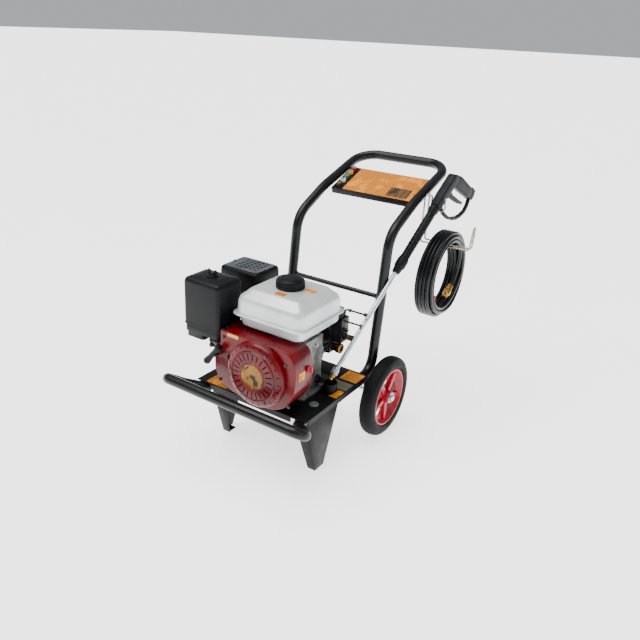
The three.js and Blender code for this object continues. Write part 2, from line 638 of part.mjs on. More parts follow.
// Air cleaner: a base with a stud, a lift-off cover, the foam element inside and a wing nut.
function airCleaner() {
  const a = AIR;
  const studX = (a.x0 + a.x1) / 2;
  const studY = (a.y0 + a.y1) / 2;
  const plan = (inset) => roundedRectangle(a.x0 + inset, a.x1 - inset, a.y0 + inset, a.y1 - inset, 16 - Math.min(inset, 6));
  const base = join(
    raised(plan(3), a.split - 22, a.split - GAP),
    raised(roundedRectangle(a.x0 + 6, a.x1 - 66, a.y0 + 8, a.y1 - 8, 10), a.bottom, a.split - 20),
  );
  const seat = rod(3.3, 30, 10, [0, 0, 1], [studX, studY, a.split - 12]);
  put('air_cleaner_base', cut(base, seat), 0x17181a, 0, 0.5);
  put('air_cleaner_stud', rod(3, a.top + 24 - a.split, 10, [0, 0, 1], [studX, studY, a.split - 11.7]), 0xc8c6c0, 0.9, 0.3);
  const cover = cut(
    raised(plan(0), a.split, a.top, 6),
    raised(plan(3), a.split - 10, a.top - 5),
    rod(3.6, 80, 12, [0, 0, 1], [studX, studY, a.top - 40]),
  );
  put('air_cleaner_cover', cover, 0x1b1c1e, 0.05, 0.45);
  const element = cut(
    raised(plan(12), a.split + GAP, a.top - 16),
    rod(3.6, 300, 12, [0, 0, 1], [studX, studY, 300]),
  );
  put('filter_element', element, 0x4a4440, 0, 0.9);
  const nut = join(
    ring(17, 3.4, 4, 16, [0, 0, 1], [studX, studY, a.top + GAP]),
    ring(7, 3.4, 12, 12, [0, 0, 1], [studX, studY, a.top + GAP]),
    box(studX + 5, studX + 15, studY - 2, studY + 2, a.top + 3, a.top + 21),
    box(studX - 15, studX - 5, studY - 2, studY + 2, a.top + 3, a.top + 21),
  );
  put('air_cleaner_wing_nut', nut, 0x2a2b2d, 0.2, 0.4);
}

// Carburettor between the air cleaner and the cylinder, with its levers at the front.
function carburettor() {
  const zTop = AIR.split - 22 - GAP;
  const body = join(
    box(-158, -126, -402, -324, 344, zTop),
    rod(19, 30, 16, [0, 0, 1], [-142, -372, 318]),
    rod(14, 21.7, 14, [0, 1, 0], [-136, -336, 364]),
  );
  put('carburettor', body, 0xa8aaac, 0.7, 0.4);
  const lever = (x, z, reach, drop) => join(
    rod(7, 4, 12, [0, -1, 0], [x, -402 - GAP, z]),
    box(x - 3, x + reach, -406, -402.6, z - 3 - drop, z + 3 - drop),
  );
  put('choke_lever', lever(-150, 366, 26, 0), 0x202123, 0.1, 0.5);
  put('fuel_lever', lever(-150, 350, 26, 0), 0x202123, 0.1, 0.5);
  const throttle = join(
    rod(8, 4, 12, [0, 0, 1], [-86, -400, 424 + GAP]),
    box(-90, -82, -424, -398, 424 + GAP, 424 + GAP + 3),
  );
  put('throttle_lever', throttle, 0x202123, 0.2, 0.5);
}

function muffler() {
  const g = GUARD;
  const can = raised(roundedRectangle(g.x0 + 12, g.x1 - 12, g.y0 + 12, g.y1 - 12, 18), g.bottom + 6, g.top - 14, 5);
  const pipe = box(-142, -118, -252, -232, 404, g.bottom + 12);
  const inlet = box(-146, -114, -258 + GAP + 0.4, -226, 396, 410);
  const outer = raised(roundedRectangle(g.x0, g.x1, g.y0, g.y1, 14), g.bottom, g.top, 6);
  const hollow = raised(roundedRectangle(g.x0 + 3, g.x1 - 3, g.y0 + 3, g.y1 - 3, 12), g.bottom - 20, g.top - 4);
  const slots = [];
  for (let row = 0; row < 3; row += 1) {
    for (let i = 0; i < 5; i += 1) {
      const x = g.x0 + 30 + 20.5 * i;
      const y = g.y0 + 30 + 26 * row;
      slots.push(box(x - 6, x + 6, y - 3.5, y + 3.5, g.top - 20, g.top + 10));
    }
  }
  put('muffler_guard', cut(outer, hollow, ...slots), 0x85878a, 0.7, 0.4);
  const bracket = [
    box(-134, -130, -222, -204, 300, g.bottom + 10),
    box(-134, CRANK_X - 72 - GAP, -222, -210.4, 300, 304),
    box(-38, CRANK_X - 72 - GAP, -222, -210.4, 292, 312),
  ];
  const inside = box(g.x0 + 18, g.x1 - 18, g.y0 + 18, g.y1 - 18, g.bottom + 10, g.top - 18);
  const outlet = rod(7, 40, 12, [0, 1, 0], [g.x0 + 40, g.y1 - 24, g.bottom + 40]);
  put('muffler', cut(join(can, pipe, inlet, ...bracket), inside, outlet), 0x6d6c6a, 0.7, 0.6);
}

function sparkPlugCap() {
  const at = inCylinder(join(
    rod(9, 30, 12, [-1, 0, 0], [-176 - GAP, -300, 12]),
    rod(6.5, 26, 12, [0, -0.2, -1], [-198, -300, 12]),
  ));
  put('spark_plug_cap', at, 0x141415, 0, 0.6);
}

function dipstick() {
    const profile = [[0, 0], [13, 0], [13, 6], [10, 8], [10, 16], [0, 18]];
  put('oil_dipstick', turned(profile, 12, [1, 0, 0], [CRANK_X + 72 + GAP, -232, 256]), 0x202123, 0, 0.5);
}

function engineSwitch() {
  const [x, y, z] = SWITCH;
  const knob = join(rod(10, 6, 16, [1, 0, 0], SWITCH), box(x + 4, x + 13, y - 3, y + 3, z - 9, z + 9));
  put('engine_switch', knob, 0xa3121f, 0, 0.4);
}

// Pump: bolted to the engine's output side, its manifold at the rear.
function pump() {
  const y0 = -200 + GAP;
  const flange = rod(62, 14, 24, [0, 1, 0], [CRANK_X, y0, CRANK_Z]);
  const bell = rod(48, 62, 24, [0, 1, 0], [CRANK_X, y0 + 10, CRANK_Z]);
  const hollow = rod(12, 56, 16, [0, 1, 0], [CRANK_X, y0 - 5, CRANK_Z]);
  put('pump_body', cut(join(flange, bell), hollow), 0x2a2b2e, 0.4, 0.45);
  const y1 = y0 + 72 + GAP;
  const block = box(CRANK_X - 46, CRANK_X + 46, y1, y1 + 50, CRANK_Z - 40, CRANK_Z + 44);
  const caps = [];
  for (let i = -1; i <= 1; i += 1) {
    caps.push(rod(12, 12, 12, [0, 1, 0], [CRANK_X + 30 * i, y1 + 46, CRANK_Z - 16]));
    caps.push(rod(12, 12, 12, [0, 1, 0], [CRANK_X + 30 * i, y1 + 46, CRANK_Z + 20]));
  }
  const tower = box(CRANK_X + 42, CRANK_X + 82, -122, -80, CRANK_Z + 2, CRANK_Z + 82);
  const neck = rod(12, 10, 14, [0, 0, 1], [CRANK_X + 62, -107, CRANK_Z + 80]);
  const screw = [[0, 0], [11, 0], [11, 12], [8.5, 13], [8.5, 38], [0, 38]];
  const outlet = turned(screw, 12, [1, 0, 0], [CRANK_X + 78, -103.4, CRANK_Z + 22]);
  const pin = rod(3, 62, 8, [1, 0, 0], [CRANK_X + 78, -103, 402]);
  const relief = rod(6, 14, 10, [1, 0, 0], [CRANK_X + 80, -103, 373]);
  const pipe = tube(bend([[CRANK_X + 70, -86, 400], [CRANK_X + 70, -86, 433, 8], [CRANK_X + 144, -86, 433]], 30), 3, 8);
  const tip = rod(6, 9, 10, [1, 0, 0], [CRANK_X + 137, -86, 433]);
  put('pump_manifold', join(block, tower, neck, outlet, pin, relief, pipe, tip, ...caps), 0x2c2d30, 0.6, 0.4);
  const knobAt = [CRANK_X + 62, -107, CRANK_Z + 90 + GAP];
  const knob = [[0, 0], [14.5, 0], [14.5, 20], [12, 24], [0, 24]];
  put('pressure_knob', turned(knob, 14, [0, 0, 1], knobAt), 0x18191b, 0, 0.5);
  const inlet = [[0, 0], [13, 0], [13, 14], [16, 15], [16, 30], [0, 30]];
  put('inlet_fitting', turned(inlet, 12, [1, 0, 0], [CRANK_X + 46 + GAP, y1 + 24, CRANK_Z - 24]), 0xb98f42, 0.9, 0.3);
}

mainFrame();
bumperBar();
crossBar();
deckPlate();
leg(-1);
leg(1);
axle();
wheel(-1);
wheel(1);
controlPanel();
nozzles();
hoseHanger();
hoseCoil();
hoseCouplings();
gunBody();
gunTrigger();
lance();
gunHook();
lanceRest();
engineBlock();
rockerCover();
fanCover();
recoilCover();
recoilPulley();
starter();
flywheel();
crankshaft();
fuelTank();
fuelCap();
airCleaner();
carburettor();
muffler();
sparkPlugCap();
dipstick();
engineSwitch();
pump();

// Centres everything but the loose hose over the origin, standing on z = 0.
const bounds = new THREE.Box3();
const loose = new Set(['hose_coil', 'hose_coupling_gun', 'hose_coupling_pump']);
for (const mesh of group.children) {
  mesh.geometry.computeBoundingBox();
  if (!loose.has(mesh.name)) bounds.union(mesh.geometry.boundingBox);
}
const middle = bounds.getCenter(new THREE.Vector3());
for (const mesh of group.children) {
  mesh.geometry.translate(-middle.x, -middle.y, -bounds.min.z);
}

export default group;
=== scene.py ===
# %% [markdown]
# # A petrol pressure washer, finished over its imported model
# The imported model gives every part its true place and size, in metres, with +Z up and +Y towards the
# push handle. This script dresses it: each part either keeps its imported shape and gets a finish, or is
# made again with rounder edges and riding on the same moving body.
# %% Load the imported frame
import json
import math

import bmesh
import bpy
from mathutils import Matrix, Vector

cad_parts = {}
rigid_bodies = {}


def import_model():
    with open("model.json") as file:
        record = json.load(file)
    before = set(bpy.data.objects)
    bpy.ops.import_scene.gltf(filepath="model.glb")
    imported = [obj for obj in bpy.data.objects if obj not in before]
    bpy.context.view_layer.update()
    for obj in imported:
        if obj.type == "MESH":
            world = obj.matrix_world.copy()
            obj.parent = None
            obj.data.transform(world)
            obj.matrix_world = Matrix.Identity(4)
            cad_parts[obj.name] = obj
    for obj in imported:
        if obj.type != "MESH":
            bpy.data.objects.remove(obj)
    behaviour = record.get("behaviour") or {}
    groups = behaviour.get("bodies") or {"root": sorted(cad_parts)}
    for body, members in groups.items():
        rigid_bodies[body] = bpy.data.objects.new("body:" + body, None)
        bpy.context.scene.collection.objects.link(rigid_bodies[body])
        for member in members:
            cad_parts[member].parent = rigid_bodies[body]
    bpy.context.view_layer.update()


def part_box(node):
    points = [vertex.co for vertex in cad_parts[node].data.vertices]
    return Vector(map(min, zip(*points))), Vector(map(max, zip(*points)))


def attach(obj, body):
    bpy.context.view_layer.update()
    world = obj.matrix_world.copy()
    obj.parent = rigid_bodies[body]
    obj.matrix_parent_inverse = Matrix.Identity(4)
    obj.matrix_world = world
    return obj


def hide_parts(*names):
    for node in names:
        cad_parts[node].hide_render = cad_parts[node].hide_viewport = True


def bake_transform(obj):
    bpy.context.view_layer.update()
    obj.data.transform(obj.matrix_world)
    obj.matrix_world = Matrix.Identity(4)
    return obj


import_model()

# %% [markdown]
# ## One drawing, two units
# The makers' drawing of this washer has its zero on the axle, midway between the wheels, in
# millimetres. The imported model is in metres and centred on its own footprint. The centre of the
# right-hand tyre is known in both, so the shift between them is one subtraction.
# %% The shift from the drawing to the model
tyre_low, tyre_high = [Vector(corner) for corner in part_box("tyre_right")]
SHIFT = Vector(((tyre_low.x + tyre_high.x) / 2 - 0.2296, (tyre_low.y + tyre_high.y) / 2, tyre_low.z))


def at(x, y, z):
    """A point of the drawing, in millimetres, as a point of the model in metres."""
    return Vector((x, y, z)) / 1000 + SHIFT


print("shift", [round(value, 4) for value in SHIFT])

# %% [markdown]
# ## The camera
# The view is from the front right, a little above the handle, standing two and a half metres away.
# The lens is just longer than the sensor is wide, so the near wheel is only slightly larger than the
# far one. It is placed by where it stands and which way it is turned.
# %% Camera
AZIMUTH, ELEVATION, ROLL = math.radians(33.6002), math.radians(23.3061), math.radians(2.6259)
away = Vector((math.sin(AZIMUTH) * math.cos(ELEVATION), -math.cos(AZIMUTH) * math.cos(ELEVATION),
               math.sin(ELEVATION)))
right = Vector((math.cos(AZIMUTH), math.sin(AZIMUTH), 0))
above = away.cross(right)
REACH, CENTRE_X, CENTRE_Y, IMAGE = 664.61, 301.98, 312.46, 640
AIM, DISTANCE = (-157.4, 80.7, 291.0), 2.3523
rolled_right = right * math.cos(ROLL) + above * math.sin(ROLL)
rolled_up = above * math.cos(ROLL) - right * math.sin(ROLL)
turn = Matrix((rolled_right, rolled_up, away)).transposed().to_4x4()
camera_data = bpy.data.cameras.new("camera")
camera_data.sensor_width = 36
camera_data.lens = REACH * 36 / IMAGE
camera_data.shift_x = (320 - CENTRE_X) / IMAGE
camera_data.shift_y = (CENTRE_Y - 320) / IMAGE
camera = bpy.data.objects.new("camera", camera_data)
bpy.context.scene.collection.objects.link(camera)
camera.matrix_world = Matrix.Translation(at(*AIM) + away * DISTANCE) @ turn
bpy.context.scene.camera = camera
print("camera at", [round(value, 3) for value in camera.matrix_world.translation])

# %% [markdown]
# ## Finishes
# Every finish is the same recipe with different numbers: a soft, large noise drifts the colour between
# a light and a dark tone, a finer noise breaks up the shine, and the finest one lifts the surface a
# little as a bump. Paint has a low, broad bump, cast metal a strong grainy one, turned metal almost
# none. Constants such as the coat sit on the shader itself.
# %% Tones and shader nodes
def tone(red, green, blue):
    """A colour given as it looks on a screen, 0 to 255, as the linear values a shader wants."""
    def linear(value):
        value = value / 255
        return value / 12.92 if value <= 0.04045 else ((value + 0.055) / 1.055) ** 2.4
    return (linear(red), linear(green), linear(blue), 1.0)


def node(tree, kind, **values):
    """Adds a node and sets its inputs by name or number."""
    made = tree.nodes.new(kind)
    for key, value in values.items():
        if key.startswith("in_"):
            made.inputs[int(key[3:])].default_value = value
        else:
            setattr(made, key, value)
    return made


print("middle grey on a screen is", round(tone(128, 128, 128)[0], 3), "of the light")

# %% [markdown]
# ## One recipe for every material
# The base colour, the shine and the bump each get a noise of their own, so that no surface is perfectly
# even. The numbers handed in decide whether it reads as paint, casting, rubber or bright steel.
# %% Finish helper
def finish(name, light, dark, rough=(0.3, 0.45), metal=0.0, grain=60.0, bump=0.1, fine=900.0, coat=0.0,
           drift=0.5, specular=0.5):
    """A procedural finish: tones that drift, shine that varies and a bump that catches the light."""
    material = bpy.data.materials.new(name)
    material.use_nodes = True
    tree = material.node_tree
    shader = tree.nodes["Principled BSDF"]
    shader.inputs["Metallic"].default_value = metal
    shader.inputs["Coat Weight"].default_value = coat
    shader.inputs["Coat Roughness"].default_value = 0.12
    shader.inputs["Specular IOR Level"].default_value = specular
    where = node(tree, "ShaderNodeTexCoord")
    broad = node(tree, "ShaderNodeTexNoise", in_2=grain, in_3=4.0, in_4=0.6)
    tree.links.new(where.outputs["Object"], broad.inputs["Vector"])
    ramp = node(tree, "ShaderNodeValToRGB")
    ramp.color_ramp.elements[0].position = 0.5 - 0.3 * drift
    ramp.color_ramp.elements[0].color = dark
    ramp.color_ramp.elements[1].position = 0.5 + 0.2 * drift
    ramp.color_ramp.elements[1].color = light
    tree.links.new(broad.outputs["Fac"], ramp.inputs["Fac"])
    tree.links.new(ramp.outputs["Color"], shader.inputs["Base Color"])
    speckle = node(tree, "ShaderNodeTexNoise", in_2=fine, in_3=3.0, in_4=0.5)
    tree.links.new(where.outputs["Object"], speckle.inputs["Vector"])
    shine = node(tree, "ShaderNodeMapRange", in_1=0.3, in_2=0.7, in_3=rough[0], in_4=rough[1])
    tree.links.new(broad.outputs["Fac"], shine.inputs["Value"])
    tree.links.new(shine.outputs["Result"], shader.inputs["Roughness"])
    lift = node(tree, "ShaderNodeBump")
    lift.inputs["Strength"].default_value = bump
    lift.inputs["Distance"].default_value = 0.0006
    tree.links.new(speckle.outputs["Fac"], lift.inputs["Height"])
    tree.links.new(lift.outputs["Normal"], shader.inputs["Normal"])
    return material

# %% The finishes of this machine
frame_black = finish("frame_black", tone(11, 12, 15), tone(4, 4, 6), (0.24, 0.4), 0.0, 14, 0.05, 700, 0.06,
                     specular=0.25)
sheet_black = finish("sheet_black", tone(11, 11, 13), tone(4, 4, 5), (0.34, 0.55), 0.0, 18, 0.12, 600,
                     specular=0.14)
moulded_black = finish("moulded_black", tone(12, 13, 16), tone(5, 6, 8), (0.36, 0.52), 0.0, 25, 0.3, 1100,
                       specular=0.18)
grip_black = finish("grip_black", tone(8, 11, 18), tone(3, 5, 9), (0.4, 0.56), 0.0, 30, 0.35, 900,
                    specular=0.18)
rubber_black = finish("rubber_black", tone(12, 13, 15), tone(5, 5, 7), (0.55, 0.72), 0.0, 35, 0.4, 800,
                      specular=0.14)
hose_black = finish("hose_black", tone(9, 10, 15), tone(3, 3, 5), (0.26, 0.42), 0.0, 22, 0.12, 1200, 0.06,
                    specular=0.25)
engine_red = finish("engine_red", tone(100, 0, 11), tone(74, 0, 8), (0.22, 0.36), 0.0, 16, 0.05, 500, 0.1,
                    specular=0.25)
rim_red = finish("rim_red", tone(176, 6, 40), tone(122, 2, 22), (0.28, 0.42), 0.0, 24, 0.1, 500, 0.1)
tank_silver = finish("tank_silver", tone(214, 218, 216), tone(190, 197, 200), (0.22, 0.36), 0.3, 8, 0.03,
                     500, 0.3)
cast_metal = finish("cast_metal", tone(128, 130, 128), tone(74, 76, 74), (0.38, 0.58), 0.8, 30, 0.5, 700)
dull_metal = finish("dull_metal", tone(100, 96, 92), tone(56, 53, 50), (0.45, 0.65), 0.8, 26, 0.4, 600)
guard_metal = finish("guard_metal", tone(84, 90, 97), tone(58, 62, 68), (0.3, 0.46), 0.3, 22, 0.15, 600)
pin_bronze = finish("pin_bronze", tone(104, 84, 66), tone(66, 52, 40), (0.34, 0.5), 0.8, 45, 0.1, 900)
bright_steel = finish("bright_steel", tone(206, 212, 216), tone(160, 168, 174), (0.16, 0.3), 1.0, 40, 0.05,
                      900)
zinc_wire = finish("zinc_wire", tone(190, 187, 176), tone(132, 128, 118), (0.28, 0.42), 1.0, 60, 0.1, 900)
brass = finish("brass", tone(190, 150, 76), tone(136, 100, 46), (0.24, 0.4), 1.0, 45, 0.1, 900)
anodised_black = finish("anodised_black", tone(26, 27, 31), tone(12, 12, 15), (0.32, 0.48), 0.5, 30, 0.3, 700)
grey_cap = finish("grey_cap", tone(112, 116, 114), tone(82, 86, 84), (0.4, 0.55), 0.1, 40, 0.2, 700)
foam_brown = finish("foam_brown", tone(92, 84, 76), tone(58, 52, 48), (0.85, 0.95), 0.0, 90, 1.0, 500)
rope_dark = finish("rope_dark", tone(70, 68, 66), tone(34, 33, 32), (0.7, 0.85), 0.0, 400, 0.8, 1500)
collar_tones = {
    "nozzle_soap": finish("collar_black", tone(40, 40, 44), tone(24, 24, 27), (0.35, 0.5)),
    "nozzle_40_degree": finish("collar_white", tone(228, 234, 228), tone(196, 204, 198), (0.35, 0.5)),
    "nozzle_25_degree": finish("collar_green", tone(60, 132, 92), tone(36, 100, 66), (0.35, 0.5)),
    "nozzle_15_degree": finish("collar_yellow", tone(236, 176, 52), tone(206, 140, 34), (0.35, 0.5)),
    "nozzle_0_degree": finish("collar_red", tone(178, 26, 38), tone(130, 14, 24), (0.3, 0.45)),
}
print("finishes", len(bpy.data.materials))

# %% [markdown]
# ## Shapes
# A shape here is a pair: a list of points and a list of faces. Turned parts are a profile spun round
# an axis, tubes are a circle carried along a route, pressed and moulded boxes are rounded outlines
# stacked one above the other, and plates are a flat outline with a thickness and a small bevel. Each is
# closed, so it makes a solid part with its faces pointing outwards.
# %% Turned shapes
def turned(profile, start, direction, steps=64):
    """Spins [radius, distance] pairs, in millimetres, round an axis through start."""
    axis = Vector(direction).normalized()
    side = axis.orthogonal().normalized()
    other = axis.cross(side)
    closed = tuple(profile[0]) == tuple(profile[-1])
    points, rows, faces = [], [], []
    for radius, distance in (profile[:-1] if closed else profile):
        centre = Vector(start) + axis * distance / 1000
        if radius < 1e-6:
            rows.append([len(points)])
            points.append(centre)
            continue
        rows.append(list(range(len(points), len(points) + steps)))
        for k in range(steps):
            angle = 2 * math.pi * k / steps
            points.append(centre + (side * math.cos(angle) + other * math.sin(angle)) * radius / 1000)
    following = rows[1:] + ([rows[0]] if closed else [])
    for low, high in zip(rows, following):
        for k in range(steps):
            n = (k + 1) % steps
            if len(low) > 1 and len(high) > 1:
                faces.append((low[k], low[n], high[n], high[k]))
            elif len(high) > 1:
                faces.append((low[0], high[n], high[k]))
            elif len(low) > 1:
                faces.append((low[k], low[n], high[0]))
    return points, faces


disc = turned([[0, 0], [5, 0], [5, 2], [0, 2]], at(0, 0, 0), (0, 0, 1), 24)
print("a disc of 24 steps has", len(disc[0]), "points and", len(disc[1]), "faces")

# %% [markdown]
# ## Bent tubes
# A tube bender leaves straight lengths joined by round bends, so a route is given as its corners, each
# with the radius of its bend. The circle is turned as little as possible from step to step, which keeps
# the tube's faces from twisting along the way.
# %% Tubes along a route
def rounded_route(corners, step=6):
    """A polyline through [x, y, z, bend radius] corners, in drawing millimetres, with round bends."""
    spots = [Vector(corner[:3]) for corner in corners]
    route = [spots[0]]
    for i in range(1, len(spots) - 1):
        radius = corners[i][3] if len(corners[i]) > 3 else 20
        into = (spots[i] - spots[i - 1]).normalized()
        leave = (spots[i + 1] - spots[i]).normalized()
        angle = into.angle(leave)
        steps = max(1, math.ceil(math.degrees(angle) / step))
        start = spots[i] - into * radius * math.tan(angle / 2)
        side = (leave - into * leave.dot(into)).normalized()
        for k in range(steps + 1):
            a = angle * k / steps
            route.append(start + side * radius * (1 - math.cos(a)) + into * radius * math.sin(a))
    route.append(spots[-1])
    return [at(*spot) for spot in route]


def tube(route, radius, sides=28):
    """A round bar of one radius, in millimetres, along a route of model points."""
    points, faces = [], []
    heading = (route[1] - route[0]).normalized()
    side = heading.orthogonal().normalized()
    for i, spot in enumerate(route):
        before = (spot - route[i - 1]).normalized() if i else heading
        after = (route[i + 1] - spot).normalized() if i + 1 < len(route) else before
        new_heading = (before + after).normalized()
        side = (heading.rotation_difference(new_heading) @ side).normalized()
        heading = new_heading
        other = heading.cross(side)
        for k in range(sides):
            angle = 2 * math.pi * k / sides
            points.append(spot + (side * math.cos(angle) + other * math.sin(angle)) * radius / 1000)
    for i in range(len(route) - 1):
        for k in range(sides):
            n = (k + 1) % sides
            low, high = i * sides, (i + 1) * sides
            faces.append((low + k, low + n, high + n, high + k))
    faces.append(tuple(reversed(range(sides))))
    faces.append(tuple(range(len(points) - sides, len(points))))
    return points, faces


elbow = rounded_route([(0, 0, 0), (0, 0, 100, 30), (0, 100, 100)])
print("an elbow's route has", len(elbow), "points, its tube", len(tube(elbow, 16)[1]), "faces")

# %% [markdown]
# ## Pressed and moulded boxes
# Sheet pressed over a form and plastic drawn from a mould both end in outlines with round corners that
# change slowly with height. Stacking such outlines gives the shape and its soft crown in one body.
# %% Stacked outlines
def rounded_outline(x0, x1, y0, y1, radius, steps=7):
    """The corner points of a rectangle with round corners, in millimetres, anticlockwise."""
    centres = [(x1 - radius, y0 + radius, -90), (x1 - radius, y1 - radius, 0),
               (x0 + radius, y1 - radius, 90), (x0 + radius, y0 + radius, 180)]
    outline = []
    for x, y, first in centres:
        for k in range(steps + 1):
            angle = math.radians(first + 90 * k / steps)
            outline.append((x + radius * math.cos(angle), y + radius * math.sin(angle)))
    return outline


def stacked(levels):
    """Joins outlines of equal length, each with its height, into one closed body."""
    points, faces = [], []
    count = len(levels[0][0])
    for outline, height in levels:
        points += [at(x, y, height) for x, y in outline]
    for level in range(len(levels) - 1):
        low, high = level * count, (level + 1) * count
        faces += [(low + k, low + (k + 1) % count, high + (k + 1) % count, high + k) for k in range(count)]
    faces.append(tuple(reversed(range(count))))
    faces.append(tuple(range(len(points) - count, len(points))))
    return points, faces


lid = stacked([(rounded_outline(0, 60, 0, 40, 8), 0), (rounded_outline(2, 58, 2, 38, 6), 6)])
print("a small lid has", len(lid[0]), "points and", len(lid[1]), "faces")

# %% [markdown]
# ## Plates and blocks
# A flat outline with a thickness stands for cut sheet, labels and moulded halves. Its edges are bevelled
# a little, because a perfectly sharp edge catches no light and looks like paper. A function places it, so
# that one drawing can lie on the deck, on the sloping panel or in the gun's own plane.
# %% Plates and blocks
def from_bmesh(work):
    """Takes the points and faces out of a bmesh and frees it."""
    work.verts.index_update()
    shape = [v.co.copy() for v in work.verts], [tuple(v.index for v in f.verts) for f in work.faces]
    work.free()
    return shape


def plate(outline, low, high, place, bevel=1.0, segments=2):
    """A flat outline in millimetres, given a thickness and eased edges, then placed by a function."""
    work = bmesh.new()
    bottom = [work.verts.new((x, y, low)) for x, y in outline]
    top = [work.verts.new((x, y, high)) for x, y in outline]
    work.faces.new(list(reversed(bottom)))
    work.faces.new(top)
    for k in range(len(outline)):
        n = (k + 1) % len(outline)
        work.faces.new((bottom[k], bottom[n], top[n], top[k]))
    bmesh.ops.recalc_face_normals(work, faces=work.faces)
    if bevel:
        bmesh.ops.bevel(work, geom=list(work.edges), offset=bevel, segments=segments, profile=0.5,
                        affect="EDGES", clamp_overlap=True)
    for v in work.verts:
        v.co = place(*v.co)
    return from_bmesh(work)


def block(x0, x1, y0, y1, z0, z1, bevel=1.0, segments=2):
    """A box between two corners of the drawing, with eased edges."""
    return plate([(x0, y0), (x1, y0), (x1, y1), (x0, y1)], z0, z1, at, bevel, segments)


print("a bevelled block has", len(block(0, 40, 0, 20, 0, 10)[1]), "faces")

# %% [markdown]
# ## From shapes to pieces
# `piece` turns one or more shapes into a single object, points its faces outwards, shades the gentle
# curves smooth while keeping real edges sharp, and hands it to the body it rides on. `eased` starts
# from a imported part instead: it copies it, melts its flat triangles together and bevels its edges,
# which is enough for cast and folded parts whose shape is already right.
# %% Finish, shading, body and the parts it stands for
def settle(thing, material, body, stands_for, angle):
    """Gives an object its finish, smooth shading, the body it rides on and the parts it stands for."""
    work = bmesh.new()
    work.from_mesh(thing.data)
    bmesh.ops.remove_doubles(work, verts=work.verts, dist=1e-6)
    bmesh.ops.recalc_face_normals(work, faces=work.faces)
    work.to_mesh(thing.data)
    work.free()
    for face in thing.data.polygons:
        face.use_smooth = True
    thing.data.set_sharp_from_angle(angle=math.radians(angle))
    if material is not None:
        thing.data.materials.clear()
        thing.data.materials.append(material)
    if body is not None:
        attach(thing, body)
    if stands_for:
        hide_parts(*stands_for)
    print(thing.name, "faces", len(thing.data.polygons))
    return thing

# %% Pieces from shapes
def joined(shapes):
    """Puts several closed shapes into one list of points and one of faces."""
    points, faces = [], []
    for shape_points, shape_faces in shapes:
        base = len(points)
        points += [tuple(point) for point in shape_points]
        faces += [tuple(base + index for index in face) for face in shape_faces]
    return points, faces


def piece(name, shapes, material, body="frame", stands_for=(), angle=35):
    """One object made of closed shapes."""
    points, faces = joined(shapes)
    mesh = bpy.data.meshes.new(name)
    mesh.from_pydata(points, [], faces)
    thing = bpy.data.objects.new(name, mesh)
    bpy.context.scene.collection.objects.link(thing)
    return settle(thing, material, body, stands_for, angle)

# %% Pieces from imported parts
def baked(thing):
    """Applies an object's modifiers to its mesh."""
    graph = bpy.context.evaluated_depsgraph_get()
    mesh = bpy.data.meshes.new_from_object(thing.evaluated_get(graph))
    thing.modifiers.clear()
    thing.data = mesh
    return thing


def eased(node_name, material, bevel=0.8, body="frame", segments=2):
    """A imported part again, with its triangles melted together and its edges bevelled."""
    source = bpy.data.objects[node_name]
    mesh = source.data.copy()
    thing = bpy.data.objects.new(node_name + "_finished", mesh)
    bpy.context.scene.collection.objects.link(thing)
    work = bmesh.new()
    work.from_mesh(mesh)
    bmesh.ops.remove_doubles(work, verts=work.verts, dist=1e-5)
    bmesh.ops.dissolve_limit(work, angle_limit=math.radians(1.0), verts=work.verts, edges=work.edges)
    work.to_mesh(mesh)
    work.free()
    rounding = thing.modifiers.new("rounding", "BEVEL")
    rounding.width = bevel / 1000
    rounding.segments = segments
    rounding.limit_method = "ANGLE"
    rounding.angle_limit = math.radians(32)
    baked(thing)
    return settle(thing, material, body, [node_name], 35)

# %% [markdown]
# ## Holes
# Windows, slots and hollows are cut, as a drill or a press would cut them, by taking closed shapes out of
# a finished piece. The cutter exists only for that moment and is removed again.
# %% Cutting shapes out
def carved(thing, shapes):
    """Cuts closed shapes out of a piece."""
    cutter = bpy.data.objects.new("cutter", bpy.data.meshes.new("cutter"))
    bpy.context.scene.collection.objects.link(cutter)
    points, faces = joined(shapes)
    cutter.data.from_pydata(points, [], faces)
    work = bmesh.new()
    work.from_mesh(cutter.data)
    bmesh.ops.recalc_face_normals(work, faces=work.faces)
    work.to_mesh(cutter.data)
    work.free()
    cut = thing.modifiers.new("cut", "BOOLEAN")
    cut.operation = "DIFFERENCE"
    cut.object = cutter
    cut.solver = "EXACT"
    baked(thing)
    bpy.data.objects.remove(cutter)
    for face in thing.data.polygons:
        face.use_smooth = True
    thing.data.set_sharp_from_angle(angle=math.radians(35))
    return thing

# %% [markdown]
# ## Repeated details
# Bolts, knurls, ribs and perforations are the same small shape many times over. One Geometry Nodes
# tree stands copies of a small block round a circle and another lays them out in rows. Both end by
# making the copies real, so that they come out as plain mesh.
# %% Named inputs of a tree
def socket(tree, name, kind, value=None):
    """Adds a named input to a tree, with its usual value."""
    made = tree.interface.new_socket(name, in_out="INPUT", socket_type=kind)
    if value is not None:
        made.default_value = value
    return made

